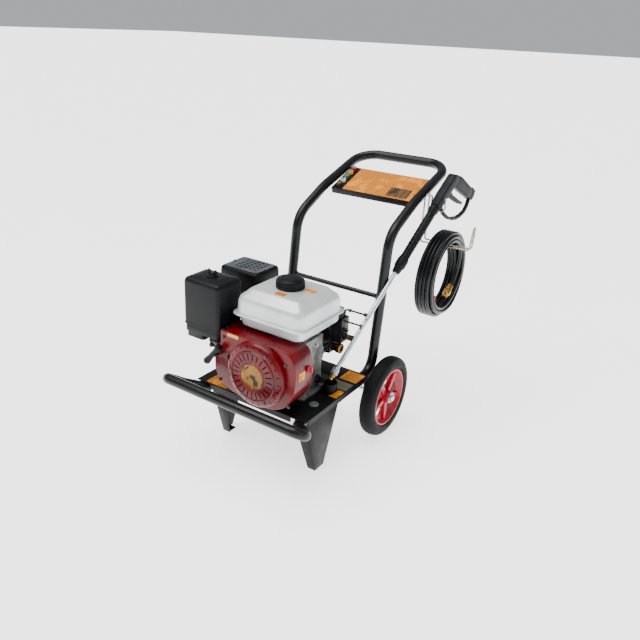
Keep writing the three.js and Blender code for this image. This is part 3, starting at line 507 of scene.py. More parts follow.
# %% Copies round a circle
def ring_tree():
    """Blocks round a circle: Count, Radius, Block size and Finish."""
    tree = bpy.data.node_groups.new("blocks_round_a_circle", "GeometryNodeTree")
    tree.interface.new_socket("Geometry", in_out="OUTPUT", socket_type="NodeSocketGeometry")
    socket(tree, "Count", "NodeSocketInt", 12)
    socket(tree, "Radius", "NodeSocketFloat", 0.03)
    socket(tree, "Block", "NodeSocketVector")
    socket(tree, "Finish", "NodeSocketMaterial")
    given = node(tree, "NodeGroupInput")
    circle = node(tree, "GeometryNodeMeshCircle")
    small = node(tree, "GeometryNodeMeshCube")
    facing = node(tree, "FunctionNodeAlignEulerToVector", axis="X")
    spot = node(tree, "GeometryNodeInputPosition")
    copies = node(tree, "GeometryNodeInstanceOnPoints")
    real = node(tree, "GeometryNodeRealizeInstances")
    coat = node(tree, "GeometryNodeSetMaterial")
    out = node(tree, "NodeGroupOutput")
    links = tree.links
    links.new(given.outputs["Count"], circle.inputs["Vertices"])
    links.new(given.outputs["Radius"], circle.inputs["Radius"])
    links.new(given.outputs["Block"], small.inputs["Size"])
    links.new(spot.outputs["Position"], facing.inputs["Vector"])
    links.new(circle.outputs["Mesh"], copies.inputs["Points"])
    links.new(small.outputs["Mesh"], copies.inputs["Instance"])
    links.new(facing.outputs["Rotation"], copies.inputs["Rotation"])
    links.new(copies.outputs["Instances"], real.inputs["Geometry"])
    links.new(real.outputs["Geometry"], coat.inputs["Geometry"])
    links.new(given.outputs["Finish"], coat.inputs["Material"])
    links.new(coat.outputs["Geometry"], out.inputs["Geometry"])
    return tree

# %% Copies in rows
def grid_tree():
    """Blocks in rows: Across, Along, Width, Length, Block size and Finish."""
    tree = bpy.data.node_groups.new("blocks_in_rows", "GeometryNodeTree")
    tree.interface.new_socket("Geometry", in_out="OUTPUT", socket_type="NodeSocketGeometry")
    socket(tree, "Across", "NodeSocketInt", 5)
    socket(tree, "Along", "NodeSocketInt", 3)
    socket(tree, "Width", "NodeSocketFloat", 0.08)
    socket(tree, "Length", "NodeSocketFloat", 0.05)
    socket(tree, "Block", "NodeSocketVector")
    socket(tree, "Finish", "NodeSocketMaterial")
    given = node(tree, "NodeGroupInput")
    grid = node(tree, "GeometryNodeMeshGrid")
    small = node(tree, "GeometryNodeMeshCube")
    copies = node(tree, "GeometryNodeInstanceOnPoints")
    real = node(tree, "GeometryNodeRealizeInstances")
    coat = node(tree, "GeometryNodeSetMaterial")
    out = node(tree, "NodeGroupOutput")
    links = tree.links
    links.new(given.outputs["Across"], grid.inputs["Vertices X"])
    links.new(given.outputs["Along"], grid.inputs["Vertices Y"])
    links.new(given.outputs["Width"], grid.inputs["Size X"])
    links.new(given.outputs["Length"], grid.inputs["Size Y"])
    links.new(given.outputs["Block"], small.inputs["Size"])
    links.new(grid.outputs["Mesh"], copies.inputs["Points"])
    links.new(small.outputs["Mesh"], copies.inputs["Instance"])
    links.new(copies.outputs["Instances"], real.inputs["Geometry"])
    links.new(real.outputs["Geometry"], coat.inputs["Geometry"])
    links.new(given.outputs["Finish"], coat.inputs["Material"])
    links.new(coat.outputs["Geometry"], out.inputs["Geometry"])
    return tree

# %% The copies as a shape
ROUND, ROWS = ring_tree(), grid_tree()


def grown(tree, centre, direction, **inputs):
    """Runs a tree and returns its blocks as one shape, standing at centre and facing a direction."""
    seed = bpy.data.objects.new("seed", bpy.data.meshes.new("seed"))
    bpy.context.scene.collection.objects.link(seed)
    growth = seed.modifiers.new("growth", "NODES")
    growth.node_group = tree
    for item in tree.interface.items_tree:
        if item.item_type == "SOCKET" and item.in_out == "INPUT" and item.name in inputs:
            growth[item.identifier] = inputs[item.name]
    graph = bpy.context.evaluated_depsgraph_get()
    mesh = bpy.data.meshes.new_from_object(seed.evaluated_get(graph))
    bpy.data.objects.remove(seed)
    spin = Vector((0, 0, 1)).rotation_difference(Vector(direction).normalized()).to_matrix()
    points = [Vector(centre) + spin @ v.co for v in mesh.vertices]
    return points, [tuple(face.vertices) for face in mesh.polygons]


print("trees", ROUND.name, "with", len(ROUND.nodes), "nodes and", ROWS.name, "with", len(ROWS.nodes))

# %% Bolt heads
def bolt(x, y, z, direction, size=8.0, height=5.0):
    """A hexagon head on a washer, its underside on the point given."""
    start = at(x, y, z)
    washer = turned([[0, 0], [size * 0.95, 0], [size * 0.95, 1.2], [0, 1.2]], start, direction, 24)
    head = turned([[0, 0.8], [size * 0.62, 0.8], [size * 0.62, height - 1], [size * 0.5, height],
                   [0, height]], start, direction, 6)
    return [washer, head]


print("one bolt is", len(joined(bolt(0, 0, 0, (0, 0, 1)))[1]), "faces")

# %% [markdown]
# ## The hose, first of the soft parts
# Ten metres of rubber hose, a little over twelve millimetres thick, wound into one coil that hangs by
# its inside on the wire hook. It is one curve. It leaves the red coupling inside the coil, fills three
# layers from the inside out, each a plain helix, and comes back inwards as flat rings on the coil's
# right-hand face to the brass coupling. Every strand lies one diameter from the next. A curve with a
# round bevel keeps the true length of its centreline, which a simulated rope would not.
# %% Coil sizes
COIL = (250, 298)
HANGER_Z = 577
HOSE = 12.4
COIL_Z = HANGER_Z + 3 + 2.4 - 106
OUTER, MIDDLE, INNER = 141.4, 128.8, 116.2
FACE, STOP, PITCH = 25.3, 12.65, 12.45
COUPLING_R = 91.4
COUPLING_END_R = 95.6
RED_ANGLE, RED_ACROSS = -14, -12
BRASS_ANGLE, BRASS_ACROSS = 34, 14


def on_coil(radius, angle, across):
    """A point of the coil: radius and sideways place in millimetres, angle from its lowest point."""
    turn_by = math.radians(angle)
    return at(COIL[0] + across, COIL[1] + radius * math.sin(turn_by), COIL_Z - radius * math.cos(turn_by))


def ease(value):
    """Goes from 0 to 1 with a level start and a level end."""
    value = min(max(value, 0.0), 1.0)
    return value * value * (3 - 2 * value)


def glide(start, stop, slope_start, slope_stop, span, turned_by):
    """A radius that goes from start to stop over a span of degrees, leaving and arriving at set slopes."""
    s = min(max(turned_by / span, 0.0), 1.0)
    return (start * (1 - ease(s)) + stop * ease(s) + slope_start * span * (s ** 3 - 2 * s ** 2 + s)
            + slope_stop * span * (s ** 3 - s ** 2))


print("the coil's lowest point", [round(value, 3) for value in on_coil(OUTER, 0, 0)])

# %% [markdown]
# ## The hose's way
# The route says how far out from the coil's middle and how far across the hose lies once it has turned by
# so many degrees. Each layer is a helix; between two layers the hose climbs by one diameter.
# %% Hose route
LEAD, BEND, CROSS = 115, 55, 60
SPAN = (FACE + STOP) / PITCH * 360
SECOND = LEAD + SPAN + CROSS
THIRD = SECOND + SPAN + CROSS
RETURN = THIRD + 2 * FACE / PITCH * 360
INWARD = RETURN + 300
END = 4598
LEAVE = END - 100
STEP = 15


def hose_state(turned_by):
    """Radius and sideways place after so many degrees of winding."""
    if turned_by < LEAD:
        across = RED_ACROSS - (FACE + RED_ACROSS) * ease(turned_by / BEND)
        if turned_by < BEND:
            return glide(COUPLING_END_R, 100.5, 0.51, 0.08, BEND, turned_by), across
        return glide(100.5, INNER, 0.08, 0, LEAD - BEND, turned_by - BEND), across
    if turned_by < SECOND:
        along = turned_by - LEAD
        return INNER + (MIDDLE - INNER) * ease((along - SPAN) / CROSS), PITCH * min(along, SPAN) / 360 - FACE
    if turned_by < THIRD:
        along = turned_by - SECOND
        return MIDDLE + (OUTER - MIDDLE) * ease((along - SPAN) / CROSS), STOP - PITCH * min(along, SPAN) / 360
    if turned_by < RETURN:
        return OUTER, PITCH * (turned_by - THIRD) / 360 - FACE
    if turned_by < LEAVE:
        drop = ((OUTER - MIDDLE) * ease((turned_by - RETURN) / 50)
                + (MIDDLE - INNER) * ease((turned_by - INWARD) / 50))
        return OUTER - drop, FACE
    across = FACE + (BRASS_ACROSS - FACE) * ease((turned_by - LEAVE) / (END - LEAVE))
    return glide(INNER, COUPLING_END_R, 0, -0.51, END - LEAVE, turned_by - LEAVE), across


def hose_spot(turned_by):
    """Where the hose is, as a point of the model."""
    radius, across = hose_state(turned_by)
    return on_coil(radius, RED_ANGLE - 17 - turned_by, across)


hose_points = [hose_spot(min(k * STEP, END)) for k in range(math.ceil(END / STEP) + 1)]
print("turns of hose", round(END / 360, 2), "points", len(hose_points))

# %% Hose curve
curve = bpy.data.curves.new("hose", "CURVE")
curve.dimensions = "3D"
curve.bevel_depth = HOSE / 2000
curve.bevel_resolution = 4
curve.resolution_u = 3
curve.use_fill_caps = True
strand = curve.splines.new("BEZIER")
strand.bezier_points.add(len(hose_points) - 1)
for point, spot in zip(strand.bezier_points, hose_points):
    point.co = spot
    point.handle_left_type = point.handle_right_type = "AUTO"
hose = bpy.data.objects.new("hose", curve)
bpy.context.scene.collection.objects.link(hose)
curve.materials.append(hose_black)
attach(hose, "frame")
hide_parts("hose_coil")
length = sum((b - a).length for a, b in zip(hose_points, hose_points[1:]))
print("hose length", round(length, 3))

# %% [markdown]
# ## The frame
# One steel tube makes the two uprights and the push handle, bent at the bottom into the rails that
# carry the deck; a second, wider one is the front bumper. A tube carried along its route with fine
# bends looks like the bent original, and small rings where tubes meet stand for the weld beads.
# %% Frame tube
TUBE = 16
UPRIGHT_X = 170
RAIL_Z = 203.7
AXLE_Z = 133


def side_of_frame(side):
    """The frame tube's corners on one side, from the front rail up to the handle."""
    x = side * UPRIGHT_X
    return [(x, -400, RAIL_Z), (x, 8, RAIL_Z, 55), (x, 50, 648, 90), (x, 200, 722, 300), (x, 454, 805, 75)]


def weld(start, direction, radius, bead=2.2):
    """A bead of weld round a bar where it meets another."""
    ring = [[radius - 1, -bead], [radius + bead * 0.7, -bead * 0.7], [radius + bead, 0],
            [radius + bead * 0.7, bead * 0.7], [radius - 1, bead], [radius - 1, -bead]]
    return turned(ring, start, direction, 32)


frame_route = rounded_route(side_of_frame(-1) + side_of_frame(1)[::-1], 4)
brackets = []
for side in (-1, 1):
    outline = [(-34, RAIL_Z - 2), (-17, 118), (-11, 113), (11, 113), (17, 118), (30, RAIL_Z - 2)]
    place = lambda u, v, w, s=side: at(s * 168 + w, u, v)
    brackets.append(plate(outline, -2.5, 2.5, place, 0.8))
    brackets.append(turned([[14, -1], [14, 5], [9, 5], [9, -1], [14, -1]], at(side * 171, 0, AXLE_Z),
                           (side, 0, 0), 32))
piece("frame_tube", [tube(frame_route, TUBE)] + brackets, frame_black, stands_for=["main_frame"])

# %% [markdown]
# ## Bumper, cross bar and axle
# The bumper is a second bent tube that sits on the same rails, the cross bar a thin rod welded between the
# uprights, and the axle a plain steel bar. A straight bar could be a stretched cylinder; spinning a profile
# instead gives its ends their small chamfers in the same step.
# %% Bumper, cross bar and axle
def side_of_bumper(side):
    """The bumper's corners on one side, from the rail out to the front bar."""
    x = side * UPRIGHT_X
    return [(x, -400.3, RAIL_Z), (x, -410, RAIL_Z, 18), (side * 224, -450, 217, 26),
            (side * 262, -508, 255, 28)]


bumper_route = rounded_route(side_of_bumper(-1) + side_of_bumper(1)[::-1], 5)
bumper_welds = [weld(at(side * UPRIGHT_X, -400.4, RAIL_Z), (0, 1, 0), TUBE, 1.6) for side in (-1, 1)]
piece("bumper", [tube(bumper_route, 15.6)] + bumper_welds, frame_black, stands_for=["bumper_bar"])
BAR, BAR_Y, BAR_Z = 7.5, 33.5, 450
bar = turned([[0, 0], [BAR, 0], [BAR, 307.4], [0, 307.4]], at(-153.7, BAR_Y, BAR_Z), (1, 0, 0), 28)
bar_welds = [weld(at(side * 153, BAR_Y, BAR_Z), (1, 0, 0), BAR, 2.6) for side in (-1, 1)]
piece("cross_bar_finished", [bar] + bar_welds, frame_black, stands_for=["cross_bar"])
axle = turned([[0, 0], [6.5, 0], [8, 1.5], [8, 515.7], [6.5, 517.2], [0, 517.2]], at(-258.6, 0, AXLE_Z),
              (1, 0, 0), 40)
piece("axle_finished", [axle], bright_steel, stands_for=["axle"])

# %% [markdown]
# ## Deck and legs
# The deck is a sheet with folded edges and the legs are folded sheet too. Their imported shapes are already
# right, so they only need softened edges, the bolts that hold the engine down and a plug in a spare hole.
# %% Deck and legs
eased("deck_plate", sheet_black, 1.2)
for name in ("leg_left", "leg_right"):
    eased(name, sheet_black, 1.0)
deck_bolts = []
for x in (-39, 123):
    for y in (-308, -232):
        deck_bolts += bolt(x, y, 236, (0, 0, 1), 8, 7)
piece("engine_mounting_bolts", deck_bolts, zinc_wire)
cap = turned([[0, 0], [14, 0], [14, 2.5], [12, 4], [0, 4]], at(163, -318, 224.1), (0, 0, 1), 40)
piece("deck_plug", [cap], grey_cap)

# %% [markdown]
# ## Deck stickers and printed panels
# Stickers are thin slabs a fraction of a millimetre proud of the sheet. Their print is generic: rows of
# short dark dashes made by a brick pattern, broken up by noise, so that it reads as small print without
# any word in it.
# %% Print finish
def printed(name, ground, ink, rows=60.0, columns=26.0, amount=0.5, upright=False):
    """A coloured ground with rows of broken dashes, lying flat or standing upright."""
    material = finish(name, ground, ground, (0.4, 0.55), 0.0, 20, 0.03, 500, specular=0.3)
    tree = material.node_tree
    shader = tree.nodes["Principled BSDF"]
    where = node(tree, "ShaderNodeTexCoord")
    scale = node(tree, "ShaderNodeMapping")
    scale.inputs["Scale"].default_value = (columns, rows, rows)
    if upright:
        scale.inputs["Rotation"].default_value = (math.radians(90), 0, 0)
    tree.links.new(where.outputs["Object"], scale.inputs["Vector"])
    bricks = node(tree, "ShaderNodeTexBrick", in_4=1.0, in_5=0.07, in_6=0.1, in_8=0.9, in_9=0.32)
    tree.links.new(scale.outputs["Vector"], bricks.inputs["Vector"])
    patchy = node(tree, "ShaderNodeTexNoise", in_2=26.0, in_3=2.0)
    tree.links.new(where.outputs["Object"], patchy.inputs["Vector"])
    keep = node(tree, "ShaderNodeMapRange", in_1=0.38, in_2=0.46, in_3=0.0, in_4=amount)
    tree.links.new(patchy.outputs["Fac"], keep.inputs["Value"])
    both = node(tree, "ShaderNodeMath", operation="MULTIPLY")
    tree.links.new(keep.outputs["Result"], both.inputs[0])
    flip = node(tree, "ShaderNodeMath", operation="SUBTRACT")
    flip.inputs[0].default_value = 1.0
    tree.links.new(bricks.outputs["Fac"], flip.inputs[1])
    tree.links.new(flip.outputs["Value"], both.inputs[1])
    mix = node(tree, "ShaderNodeMix", data_type="RGBA")
    mix.inputs[6].default_value = ground
    mix.inputs[7].default_value = ink
    tree.links.new(both.outputs["Value"], mix.inputs["Factor"])
    tree.links.new(mix.outputs[2], shader.inputs["Base Color"])
    return material


DECK_TOP = 224
label_orange = printed("label_orange", tone(244, 148, 0), tone(66, 34, 4), 78, 40, 0.8)
label_dark = printed("label_dark", tone(36, 28, 20), tone(150, 96, 34), 60, 22, 0.7)
stickers = [
    ("sticker_right_rear", [(137, -137), (196, -137), (196, -76), (137, -76)], label_orange),
    ("sticker_right_front", [(170, -250), (196, -250), (196, -203), (170, -203)], label_orange),
    ("sticker_left_front", [(-168, -408), (-92, -408), (-92, -350), (-168, -350)], label_orange),
]
for name, outline, material in stickers:
    piece(name, [plate(outline, DECK_TOP + 0.05, DECK_TOP + 0.6, at, 0.15, 1)], material)
band_grey = finish("band_grey", tone(96, 94, 78), tone(72, 70, 58), (0.4, 0.55))
rear_band = [(137, -196), (196, -196), (196, -150), (137, -150)]
front_patch = [(-90, -408), (-40, -408), (-40, -378), (-90, -378)]
for name, outline in (("sticker_grey_band", rear_band), ("sticker_grey_front", front_patch)):
    piece(name, [plate(outline, DECK_TOP + 0.05, DECK_TOP + 0.5, at, 0.15, 1)], band_grey)

# %% [markdown]
# ## The label panel
# A folded sheet under the handle carries a printed label and a dark strip with five holes for the nozzles.
# It slopes with the handle, so its pieces are drawn flat and placed by one function that knows the slope.
# %% Label panel under the handle
TILT = math.radians(21.7)


def on_panel(x, along, above):
    """A point of the sloping panel: sideways, up its slope, and out of its face."""
    return at(x, 287.7 + along * math.cos(TILT) - above * math.sin(TILT),
              741 + along * math.sin(TILT) + above * math.cos(TILT))


eased("control_panel", sheet_black, 0.7)
face = rounded_outline(-112, 150, -68, 69, 4, 3)
piece("panel_label", [plate(face, 1.55, 1.95, on_panel, 0.1, 1)], label_orange)
dark = rounded_outline(48, 126, -60, -8, 2, 2)
piece("panel_label_dark", [plate(dark, 1.95, 2.2, on_panel, 0.1, 1)], label_dark)
strip = rounded_outline(-150, -114, -68, 69, 4, 3)
piece("nozzle_strip", [plate(strip, 1.55, 1.75, on_panel, 0.1, 1)], moulded_black)

# %% [markdown]
# ## Five nozzles
# Each quick-connect nozzle is a steel stem with a coloured collar that tells its spray angle. A spun profile
# gives both, and ribs grown round the collar give the grip that fingers need.
# %% Nozzles
normal = on_panel(0, 0, 1) - on_panel(0, 0, 0)
names = ["nozzle_soap", "nozzle_40_degree", "nozzle_25_degree", "nozzle_15_degree", "nozzle_0_degree"]
for index, name in enumerate(names):
    spot = on_panel(-132, (index - 2) * 26, 0)
    collar = turned([[0, 3.2], [10, 3.2], [10, 4], [9.6, 4.6], [9.6, 6], [10, 6.6], [10, 12], [9, 13],
                     [7.4, 13.2], [0, 13.2]], spot, normal, 40)
    ribs = grown(ROUND, spot + normal.normalized() * 0.0096, normal, Count=18, Radius=0.0097,
                 Block=(0.0012, 0.0012, 0.0052), Finish=collar_tones[name])
    piece(name + "_collar", [collar, ribs], collar_tones[name], body=name, stands_for=[name])
    stem = turned([[0, -22], [2, -22], [3.6, -21], [4.6, -16], [4.6, -12], [5.6, -11], [5.6, -9], [4.6, -8],
                   [4.6, -4], [5.9, -3], [5.9, 3.1], [0, 3.1]], spot, normal, 32)
    tip = turned([[0, 13.3], [6.6, 13.3], [6.2, 16], [2.4, 16], [2.0, 14.6], [0, 14.6]], spot, normal, 32)
    piece(name + "_stem", [stem, tip], bright_steel if name != "nozzle_soap" else brass, body=name)
print("nozzles", len(names))

# %% [markdown]
# ## Wheels
# Solid tyres with a moulding line round the middle and shallow steps on the sidewall, on red rims with
# five spokes. Both are spun profiles; the spokes are added as plates and the rim's windows are cut.
# %% Tyres and rims
HUB_INNER, HUB_OUTER = 204.6, 252.6
SPOKES = 5


def wheel(side):
    """Tyre, rim, spokes and hub nut of one wheel; side is -1 for left, 1 for right."""
    name = "left" if side < 0 else "right"
    body = "wheel_" + name
    start = at(side * HUB_INNER, 0, AXLE_Z)
    out = (side, 0, 0)
    half = [[97, 4], [99, 1.6], [103, 0.6], [108, 0], [112, 0], [113, 1.0], [118, 1.4], [120, 2.6],
            [124, 3.8], [128, 6.6], [130.6, 10.4], [132, 15], [132.4, 18], [131.7, 18.4], [131.7, 19.4],
            [132.6, 19.8], [133, 23.2], [133, 24.4]]
    other = [[radius, 50 - distance] for radius, distance in reversed(half)]
    tyre = turned(half + [[133.5, 24.7], [133.5, 25.3]] + other + [[97, 4]], start, out, 128)
    piece("tyre_" + name + "_finished", [tyre], rubber_black, body=body, stands_for=["tyre_" + name])
    rim = [[8.4, -1], [18, -1], [20, 1], [20, 19], [24, 22], [70, 22], [80, 19], [84, 12], [86, 6], [94, 5],
           [96.6, 6.5], [96.6, 43.5], [94, 46], [89, 46], [87.6, 44], [85, 34], [80, 28], [70, 25.5],
           [27, 25.5], [23, 28], [21, 46], [19, 48], [8.4, 48], [8.4, -1]]
    disc = turned(rim, start, out, 96)
    ribs = []
    for i in range(SPOKES):
        angle = math.radians(360 / SPOKES * (i + 0.5))
        spin = Matrix.Rotation(angle, 4, "X")
        outline = [(-9, 18), (9, 18), (6.5, 84), (-6.5, 84)]
        place = lambda u, v, w, m=spin: start + (m @ Vector((side * w, u, v))) / 1000
        ribs.append(plate(outline, 23, 36, place, 2.4, 3))
    made = piece("rim_" + name + "_finished", [disc], rim_red, body=body, stands_for=["rim_" + name])
    windows = []
    for i in range(SPOKES):
        spin = Matrix.Rotation(math.radians(360 / SPOKES * i), 4, "X")
        place = lambda u, v, w, m=spin: start + (m @ Vector((side * w, u, v))) / 1000
        windows.append(plate(rounded_outline(-15, 15, 40, 71, 11, 5), 8, 44, place, 0))
    carved(made, windows)
    piece("rim_spokes_" + name, ribs, rim_red, body=body)
    nut = turned([[0, 0.3], [13, 0.3], [17, 1.2], [17, 2.4], [13, 3], [13, 3.1], [0, 3.1]],
                 at(side * HUB_OUTER, 0, AXLE_Z), out, 40)
    hexagon = turned([[0, 3], [12.2, 3], [12.2, 8], [10.6, 9.6], [6, 12], [0, 12.2]],
                     at(side * HUB_OUTER, 0, AXLE_Z), out, 6)
    piece("hub_nut_" + name + "_finished", [nut, hexagon], bright_steel, stands_for=["hub_nut_" + name])


wheel(-1)
wheel(1)

# %% [markdown]
# ## Wire hanger
# The hose hangs on a wire of six millimetres, bent in one piece: down from the handle tube, out under the
# coil, up at the end, and back. It is the same kind of swept circle as the frame, only thinner.
# %% Wire hanger and gun hook
def handle_z(y):
    """Height of the handle tube's middle where it slopes up to the rear."""
    return 722 + (y - 200) * 83 / 254


def under_tube(y):
    """Height of the handle tube's underside."""
    return handle_z(y) - TUBE / math.cos(math.radians(18.1)) - 0.2


y0, y1 = COIL[1] - 17, COIL[1] + 17
hanger = rounded_route([(171, y0, under_tube(y0)), (171, y0, HANGER_Z, 9), (338, y0 + 12, HANGER_Z, 9),
                        (343, y0 + 14, HANGER_Z + 74, 9), (343, y1 - 2, HANGER_Z + 74, 9),
                        (338, y1, HANGER_Z, 9), (171, y1, HANGER_Z, 9), (171, y1, under_tube(y1))], 12)
piece("hose_hanger_finished", [tube(hanger, 3, 16)], zinc_wire, stands_for=["hose_hanger"])

# %% [markdown]
# ## The spray gun
# The gun lies on one straight line from the lance's tip up to the rear of the gun. All its parts are
# drawn on two directions: along that line, and down from it in the gun's own plane.
# %% Gun axes
head, tip = Vector((240, 328, 796)), Vector((155, -223, 260))
to_tip = (tip - head).normalized()
lance_length = (tip - head).length
gun_side = Vector((0, 0, 1)).cross(to_tip).normalized()
gun_down = to_tip.cross(gun_side).normalized()
gun_down = -gun_down if gun_down.z > 0 else gun_down


def on_gun(along, down, side=0.0):
    """A point of the gun: along it to the tip, down from its line, and sideways."""
    return at(*(head + to_tip * along + gun_down * down + gun_side * side))


print("gun and lance, mm", round(lance_length, 1))

# %% [markdown]
# ## Gun body and trigger
# The housing is two moulded halves with a seam between them. Each part is a side outline with a thickness
# and a generous bevel, which reads as moulding; the guard is a curved strap round the trigger. The trigger
# is a separate piece, because it turns on its pin.
# %% Gun body, trigger and grip
def gun_plate(outline, thickness, bevel, segments=3):
    """An outline in the gun's own plane, with a thickness."""
    return plate(outline, -thickness / 2, thickness / 2, on_gun, bevel, segments)


housing = gun_plate([(-3, -12), (6, -15), (88, -17), (124, -13), (124, 14), (60, 17), (24, 17), (-2, 19),
                     (-12, 2)], 31, 6, 4)
grip = gun_plate([(-10, 0), (24, 10), (16, 36), (6, 70), (-4, 100), (-16, 130), (-50, 120), (-41, 90),
                  (-34, 60), (-26, 28)], 28, 7, 4)
foot = gun_plate([(-13, 122), (-22, 150), (-56, 139), (-50, 112)], 27, 4, 3)
guard = gun_plate([(96, 8), (106, 20), (113, 34), (111, 62), (104, 90), (90, 116), (72, 138), (48, 154),
                   (22, 163), (-2, 160), (-24, 150), (-19, 140), (0, 149), (20, 152), (44, 143), (64, 129),
                   (82, 108), (94, 86), (101, 60), (102, 37), (97, 22), (84, 10)], 12, 2.6, 3)
seam = gun_plate([(6, -5), (84, -7), (84, -5.4), (6, -3.4)], 31.6, 0.3, 1)
piece("gun_body_finished", [housing, grip, foot, guard, seam], grip_black, body="gun",
      stands_for=["gun_body"], angle=40)
lever = gun_plate([(43, 19.6), (53, 19.6), (56.4, 25), (54.4, 42), (48, 62), (40, 82), (31, 102), (22, 117),
                   (13, 114), (21, 96), (28, 76), (34, 58), (39, 40), (39, 25)], 13, 2.2, 3)
piece("gun_trigger_finished", [lever], moulded_black, body="trigger", stands_for=["gun_trigger"], angle=40)
inlet = turned([[0, 0], [9, 0], [9, 9], [7, 10], [7, 14], [0, 14]], on_gun(-40, 144),
               on_gun(-50, 180) - on_gun(-40, 144), 24)
piece("gun_inlet", [inlet], brass, body="gun")

# %% [markdown]
# ## Lance
# A ribbed insulating sleeve, a bright steel tube, a sliding quick coupler and the nozzle follow each other
# on one line. All are spun profiles; the coupler also gets a knurl, which is a ring of thin blocks.
# %% Lance
sleeve_profile = [[0, 0], [15, 0], [17, 2], [17, 14], [15, 20]]
for k in range(9):
    sleeve_profile += [[14.2, 24 + 18 * k], [14.0, 28 + 18 * k], [13.5, 29 + 18 * k], [13.5, 31 + 18 * k],
                       [14.0, 32 + 18 * k]]
sleeve_profile += [[13.6, 190], [15, 199], [17.5, 208], [17.5, 230], [16.5, 234], [14.5, 236], [12.4, 254],
                   [11.4, 256], [0, 256]]
piece("lance_grip_finished", [turned(sleeve_profile, on_gun(124.4, 0), to_tip, 48)], grip_black, body="gun",
      stands_for=["lance_grip"])
start, end = 380.7, lance_length - 20
bright_bar = turned([[0, start], [7, start], [7, end], [0, end]], on_gun(0, 0), to_tip, 48)
piece("lance_tube_finished", [bright_bar], bright_steel, body="gun", stands_for=["lance_tube"])
collar_start = end - 22.3
collar = turned([[7.4, 0], [8.6, 0], [9, 0.6], [9, 5.4], [11.5, 7], [11.5, 21.4], [10.9, 22], [7.4, 22],
                 [7.4, 0]], on_gun(collar_start, 0), to_tip, 48)
knurl = grown(ROUND, on_gun(collar_start + 14.5, 0), to_tip, Count=36, Radius=0.0115,
              Block=(0.0009, 0.0009, 0.011), Finish=bright_steel)
piece("lance_coupler_finished", [collar, knurl], bright_steel, body="collar", stands_for=["lance_coupler"])
nozzle = turned([[0, 0], [8, 0], [8, 8], [7.2, 9], [5, 12], [5, 17.2], [4.4, 18], [1.5, 18], [1.2, 15],
                 [0, 15]], on_gun(end + 0.3, 0), to_tip, 40)
piece("lance_nozzle_finished", [nozzle], brass, body="gun", stands_for=["lance_nozzle"])

# %% [markdown]
# ## Where the gun rests
# A wire hook welded to the handle tube carries the gun, and a small cup on the deck takes the tip of the
# lance. The hook starts in the middle of the tube it is welded to and passes under the gun.
# %% Gun hook and lance cup
spot = head + to_tip * 100
z_tube = handle_z(spot.y)
reach = 17 + 3 + 1.2
near, far = spot.x - reach - 2, spot.x + reach + 2
hook = rounded_route([(186.4, spot.y, z_tube), (near, spot.y, z_tube, 6), (near, spot.y, spot.z - 30, 12),
                      (far, spot.y, spot.z - 30, 12), (far, spot.y, spot.z + 14)], 12)
piece("gun_hook_finished", [tube(hook, 3, 16)], zinc_wire, stands_for=["gun_hook"])
eased("lance_rest", sheet_black, 0.5)

# %% [markdown]
# ## The engine
# A small single-cylinder engine. Its crankcase and finned cylinder are cast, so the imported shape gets
# eased edges and a grainy finish; the covers are pressed or moulded and are made again.
# %% Crankcase and fins
CX, CZ = 42, 330
eased("engine_block", cast_metal, 0.9)
eased("rocker_cover", moulded_black, 2.5, segments=3)
case_bolts = []
for angle in range(30, 390, 60):
    a = math.radians(angle)
    case_bolts += bolt(CX + 62 * math.cos(a), -199.9, CZ + 62 * math.sin(a), (0, 1, 0), 6, 5)
case_bolts += bolt(114.1, -300, 300, (1, 0, 0), 8, 6) + bolt(114.1, -245, 372, (1, 0, 0), 7, 5)
piece("crankcase_bolts", case_bolts, zinc_wire)

# %% [markdown]
# ## Fan cover
# The red cover that guides cooling air is a pressed bowl, straight beside the cylinder and round elsewhere.
# Its outline is three curves and a few straight lines, pulled to a depth, softly bevelled, and hollowed by a
# slightly smaller copy of itself.
# %% Fan cover
def shroud_outline(scale=1.0, steps=10):
    """The fan cover's outline: straight at the cylinder side, round at the bottom and right."""
    def curve_to(start, control, stop):
        out = []
        for k in range(1, steps + 1):
            t = k / steps
            weights = ((1 - t) ** 2, 2 * t * (1 - t), t * t)
            out.append(tuple(sum(w * v for w, v in zip(weights, trio)) for trio in zip(start, control, stop)))
        return out
    outline = [(-97, 424), (-97, 378), (-112, 376), (-119, 369), (-119, 300)]
    outline += curve_to((-119, 300), (-112, 226), (54, 226))
    outline += curve_to((54, 226), (168, 226), (167, 350))
    outline += curve_to((167, 350), (167, 424), (118, 424))
    return [(CX + (x - CX) * scale, CZ + (z - CZ) * scale) for x, z in outline]


def upright_plate(outline, front, rear, bevel, segments=3):
    """An outline drawn in X and Z, pulled from a front to a rear Y."""
    return plate(outline, front, rear, lambda u, v, w: at(u, w, v), bevel, segments)


shroud = piece("fan_cover_finished", [upright_plate(shroud_outline(), -425, -338, 8, 4)], engine_red,
               stands_for=["fan_cover"], angle=40)
eye = turned([[0, 0], [80, 0], [80, 40], [0, 40]], at(CX, -440, CZ), (0, 1, 0), 64)
carved(shroud, [upright_plate(shroud_outline(0.955), -420, -330, 0), eye])
cover_bolts = []
for x, z in ((-84, 404), (134, 384), (148, 262), (-98, 262)):
    cover_bolts += bolt(x, -425, z, (0, -1, 0), 6, 5)
piece("fan_cover_bolts", cover_bolts, dull_metal)
piece("fan_cover_label", [block(-70, -30, -425.9, -424.8, 411, 421, 0.2, 1)], brass)
piece("switch_label", [block(166.6, 167.8, -408, -380, 336, 362, 0.2, 1)], label_orange)

